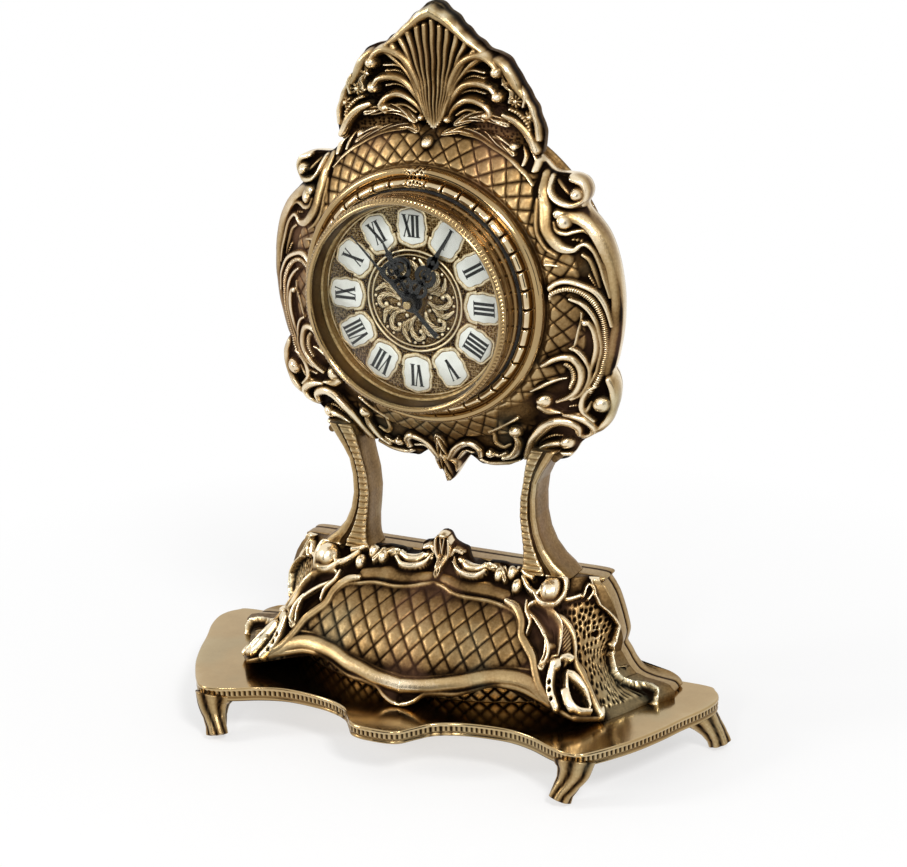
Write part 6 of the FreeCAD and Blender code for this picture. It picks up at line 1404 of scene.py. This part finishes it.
def makeCamera():
    lens = bpy.data.cameras.new("camera")
    lens.sensor_width = 36
    lens.lens = camera["lens"]
    lens.clip_start, lens.clip_end = 0.05, 20
    eye = bpy.data.objects.new("camera", lens)
    bpy.context.scene.collection.objects.link(eye)
    azimuth, elevation, roll = (math.radians(camera[key]) for key in ("azimuth", "elevation", "roll"))
    back = Vector((math.sin(azimuth) * math.cos(elevation), -math.cos(azimuth) * math.cos(elevation),
                   math.sin(elevation)))
    right = Vector((math.cos(azimuth), math.sin(azimuth), 0))
    up = back.cross(right)
    side = right * math.cos(roll) + up * math.sin(roll)
    top = -right * math.sin(roll) + up * math.cos(roll)
    aimX, aimY = (shift / camera["focal"] for shift in camera["aim"])
    ahead = (-back + side * aimX + top * aimY).normalized()
    side = (side - ahead * side.dot(ahead)).normalized()
    top = side.cross(ahead)
    turn = Matrix((side, top, -ahead)).transposed().to_4x4()
    eye.matrix_world = Matrix.Translation(Vector(camera["place"]) / 1000) @ turn
    bpy.context.scene.camera = eye


def seenRay(tree):
    path = addNode(tree, "ShaderNodeLightPath").outputs
    return mathOf(tree, "MAXIMUM", path["Is Camera Ray"],
                  mathOf(tree, "MAXIMUM", path["Is Glossy Ray"], path["Is Transmission Ray"]))


def makeFloor():
    mesh = bmesh.new()
    bmesh.ops.create_circle(mesh, cap_ends=True, segments=96, radius=6)
    floor = newObject("floor", mesh)
    floor.location.z = -0.0004
    material, tree, shader = newMaterial("floorWhite")
    setInputs(shader, Roughness=0.7, Specular_IOR_Level=0.1)
    grain = rampOf(tree, noiseOf(tree, 4), [(0.3, grey(0.93)), (0.7, grey(0.96))])
    tree.links.new(grain, shader.inputs["Base Color"])
    # the shadow shows close to the clock and fades into white around it
    far = addNode(tree, "ShaderNodeVectorMath", operation="LENGTH")
    tree.links.new(objectPoint(tree), far.inputs[0])
    fade = rampOf(tree, far.outputs["Value"], [(0.10, grey(0.62)), (0.34, grey(1))])
    glow = addNode(tree, "ShaderNodeEmission", Color=(1, 1, 1, 1), Strength=1)
    mixSurface(tree, mathOf(tree, "MULTIPLY", seenRay(tree), fade), shader, glow)
    floor.data.materials.append(material)


def makeWorld():
    world = bpy.data.worlds.new("world")
    bpy.context.scene.world = world
    world.use_nodes = True
    tree = world.node_tree
    # full white where it is seen, less as a light
    strength = mathOf(tree, "ADD", mathOf(tree, "MULTIPLY", seenRay(tree), 0.52), 0.48)
    ground = tree.nodes["Background"]
    setInputs(ground, Color=(1, 1, 1, 1))
    tree.links.new(strength, ground.inputs["Strength"])


stageAim = (0, 0, 0.15)


def addLamp(name, place, size, power):
    lamp = bpy.data.lights.new(name, "AREA")
    lamp.shape = "RECTANGLE"
    lamp.size, lamp.size_y = size
    lamp.energy = power
    item = bpy.data.objects.new(name, lamp)
    bpy.context.scene.collection.objects.link(item)
    item.location = place
    item.rotation_euler = (Vector(stageAim) - Vector(place)).to_track_quat("-Z", "Y").to_euler()


def addCard(name, place, size):
    mesh = bmesh.new()
    bmesh.ops.create_grid(mesh, x_segments=1, y_segments=1, size=0.5)
    bmesh.ops.scale(mesh, vec=(*size, 1), verts=mesh.verts)
    turn = (Vector(stageAim) - Vector(place)).to_track_quat("Z", "Y").to_matrix()
    bmesh.ops.rotate(mesh, cent=(0, 0, 0), matrix=turn, verts=mesh.verts)
    bmesh.ops.translate(mesh, vec=place, verts=mesh.verts)
    card = newObject(name, mesh)
    dark, lighter = (0.02, 0.018, 0.015), (0.028, 0.0252, 0.021)
    card.data.materials.append(plainMaterial(name, dark, lighter, 0.9, scale=3))
    card.visible_camera = False


makeCamera()
makeFloor()
makeWorld()
addLamp("keyLamp", (1.0, -0.9, 1.3), (0.35, 0.35), 17)
addLamp("fillLamp", (-1.2, -0.7, 0.8), (0.3, 0.6), 8)
addLamp("frontLamp", (0.25, -1.4, 0.75), (0.16, 0.3), 4)
addCard("darkCard", (-0.35, -1.6, 0.25), (0.9, 1.4))
addCard("sideCard", (1.5, -0.3, 0.3), (0.5, 1.2))
print("camera and lights set")

scene = bpy.context.scene
scene.view_settings.view_transform = "Standard"
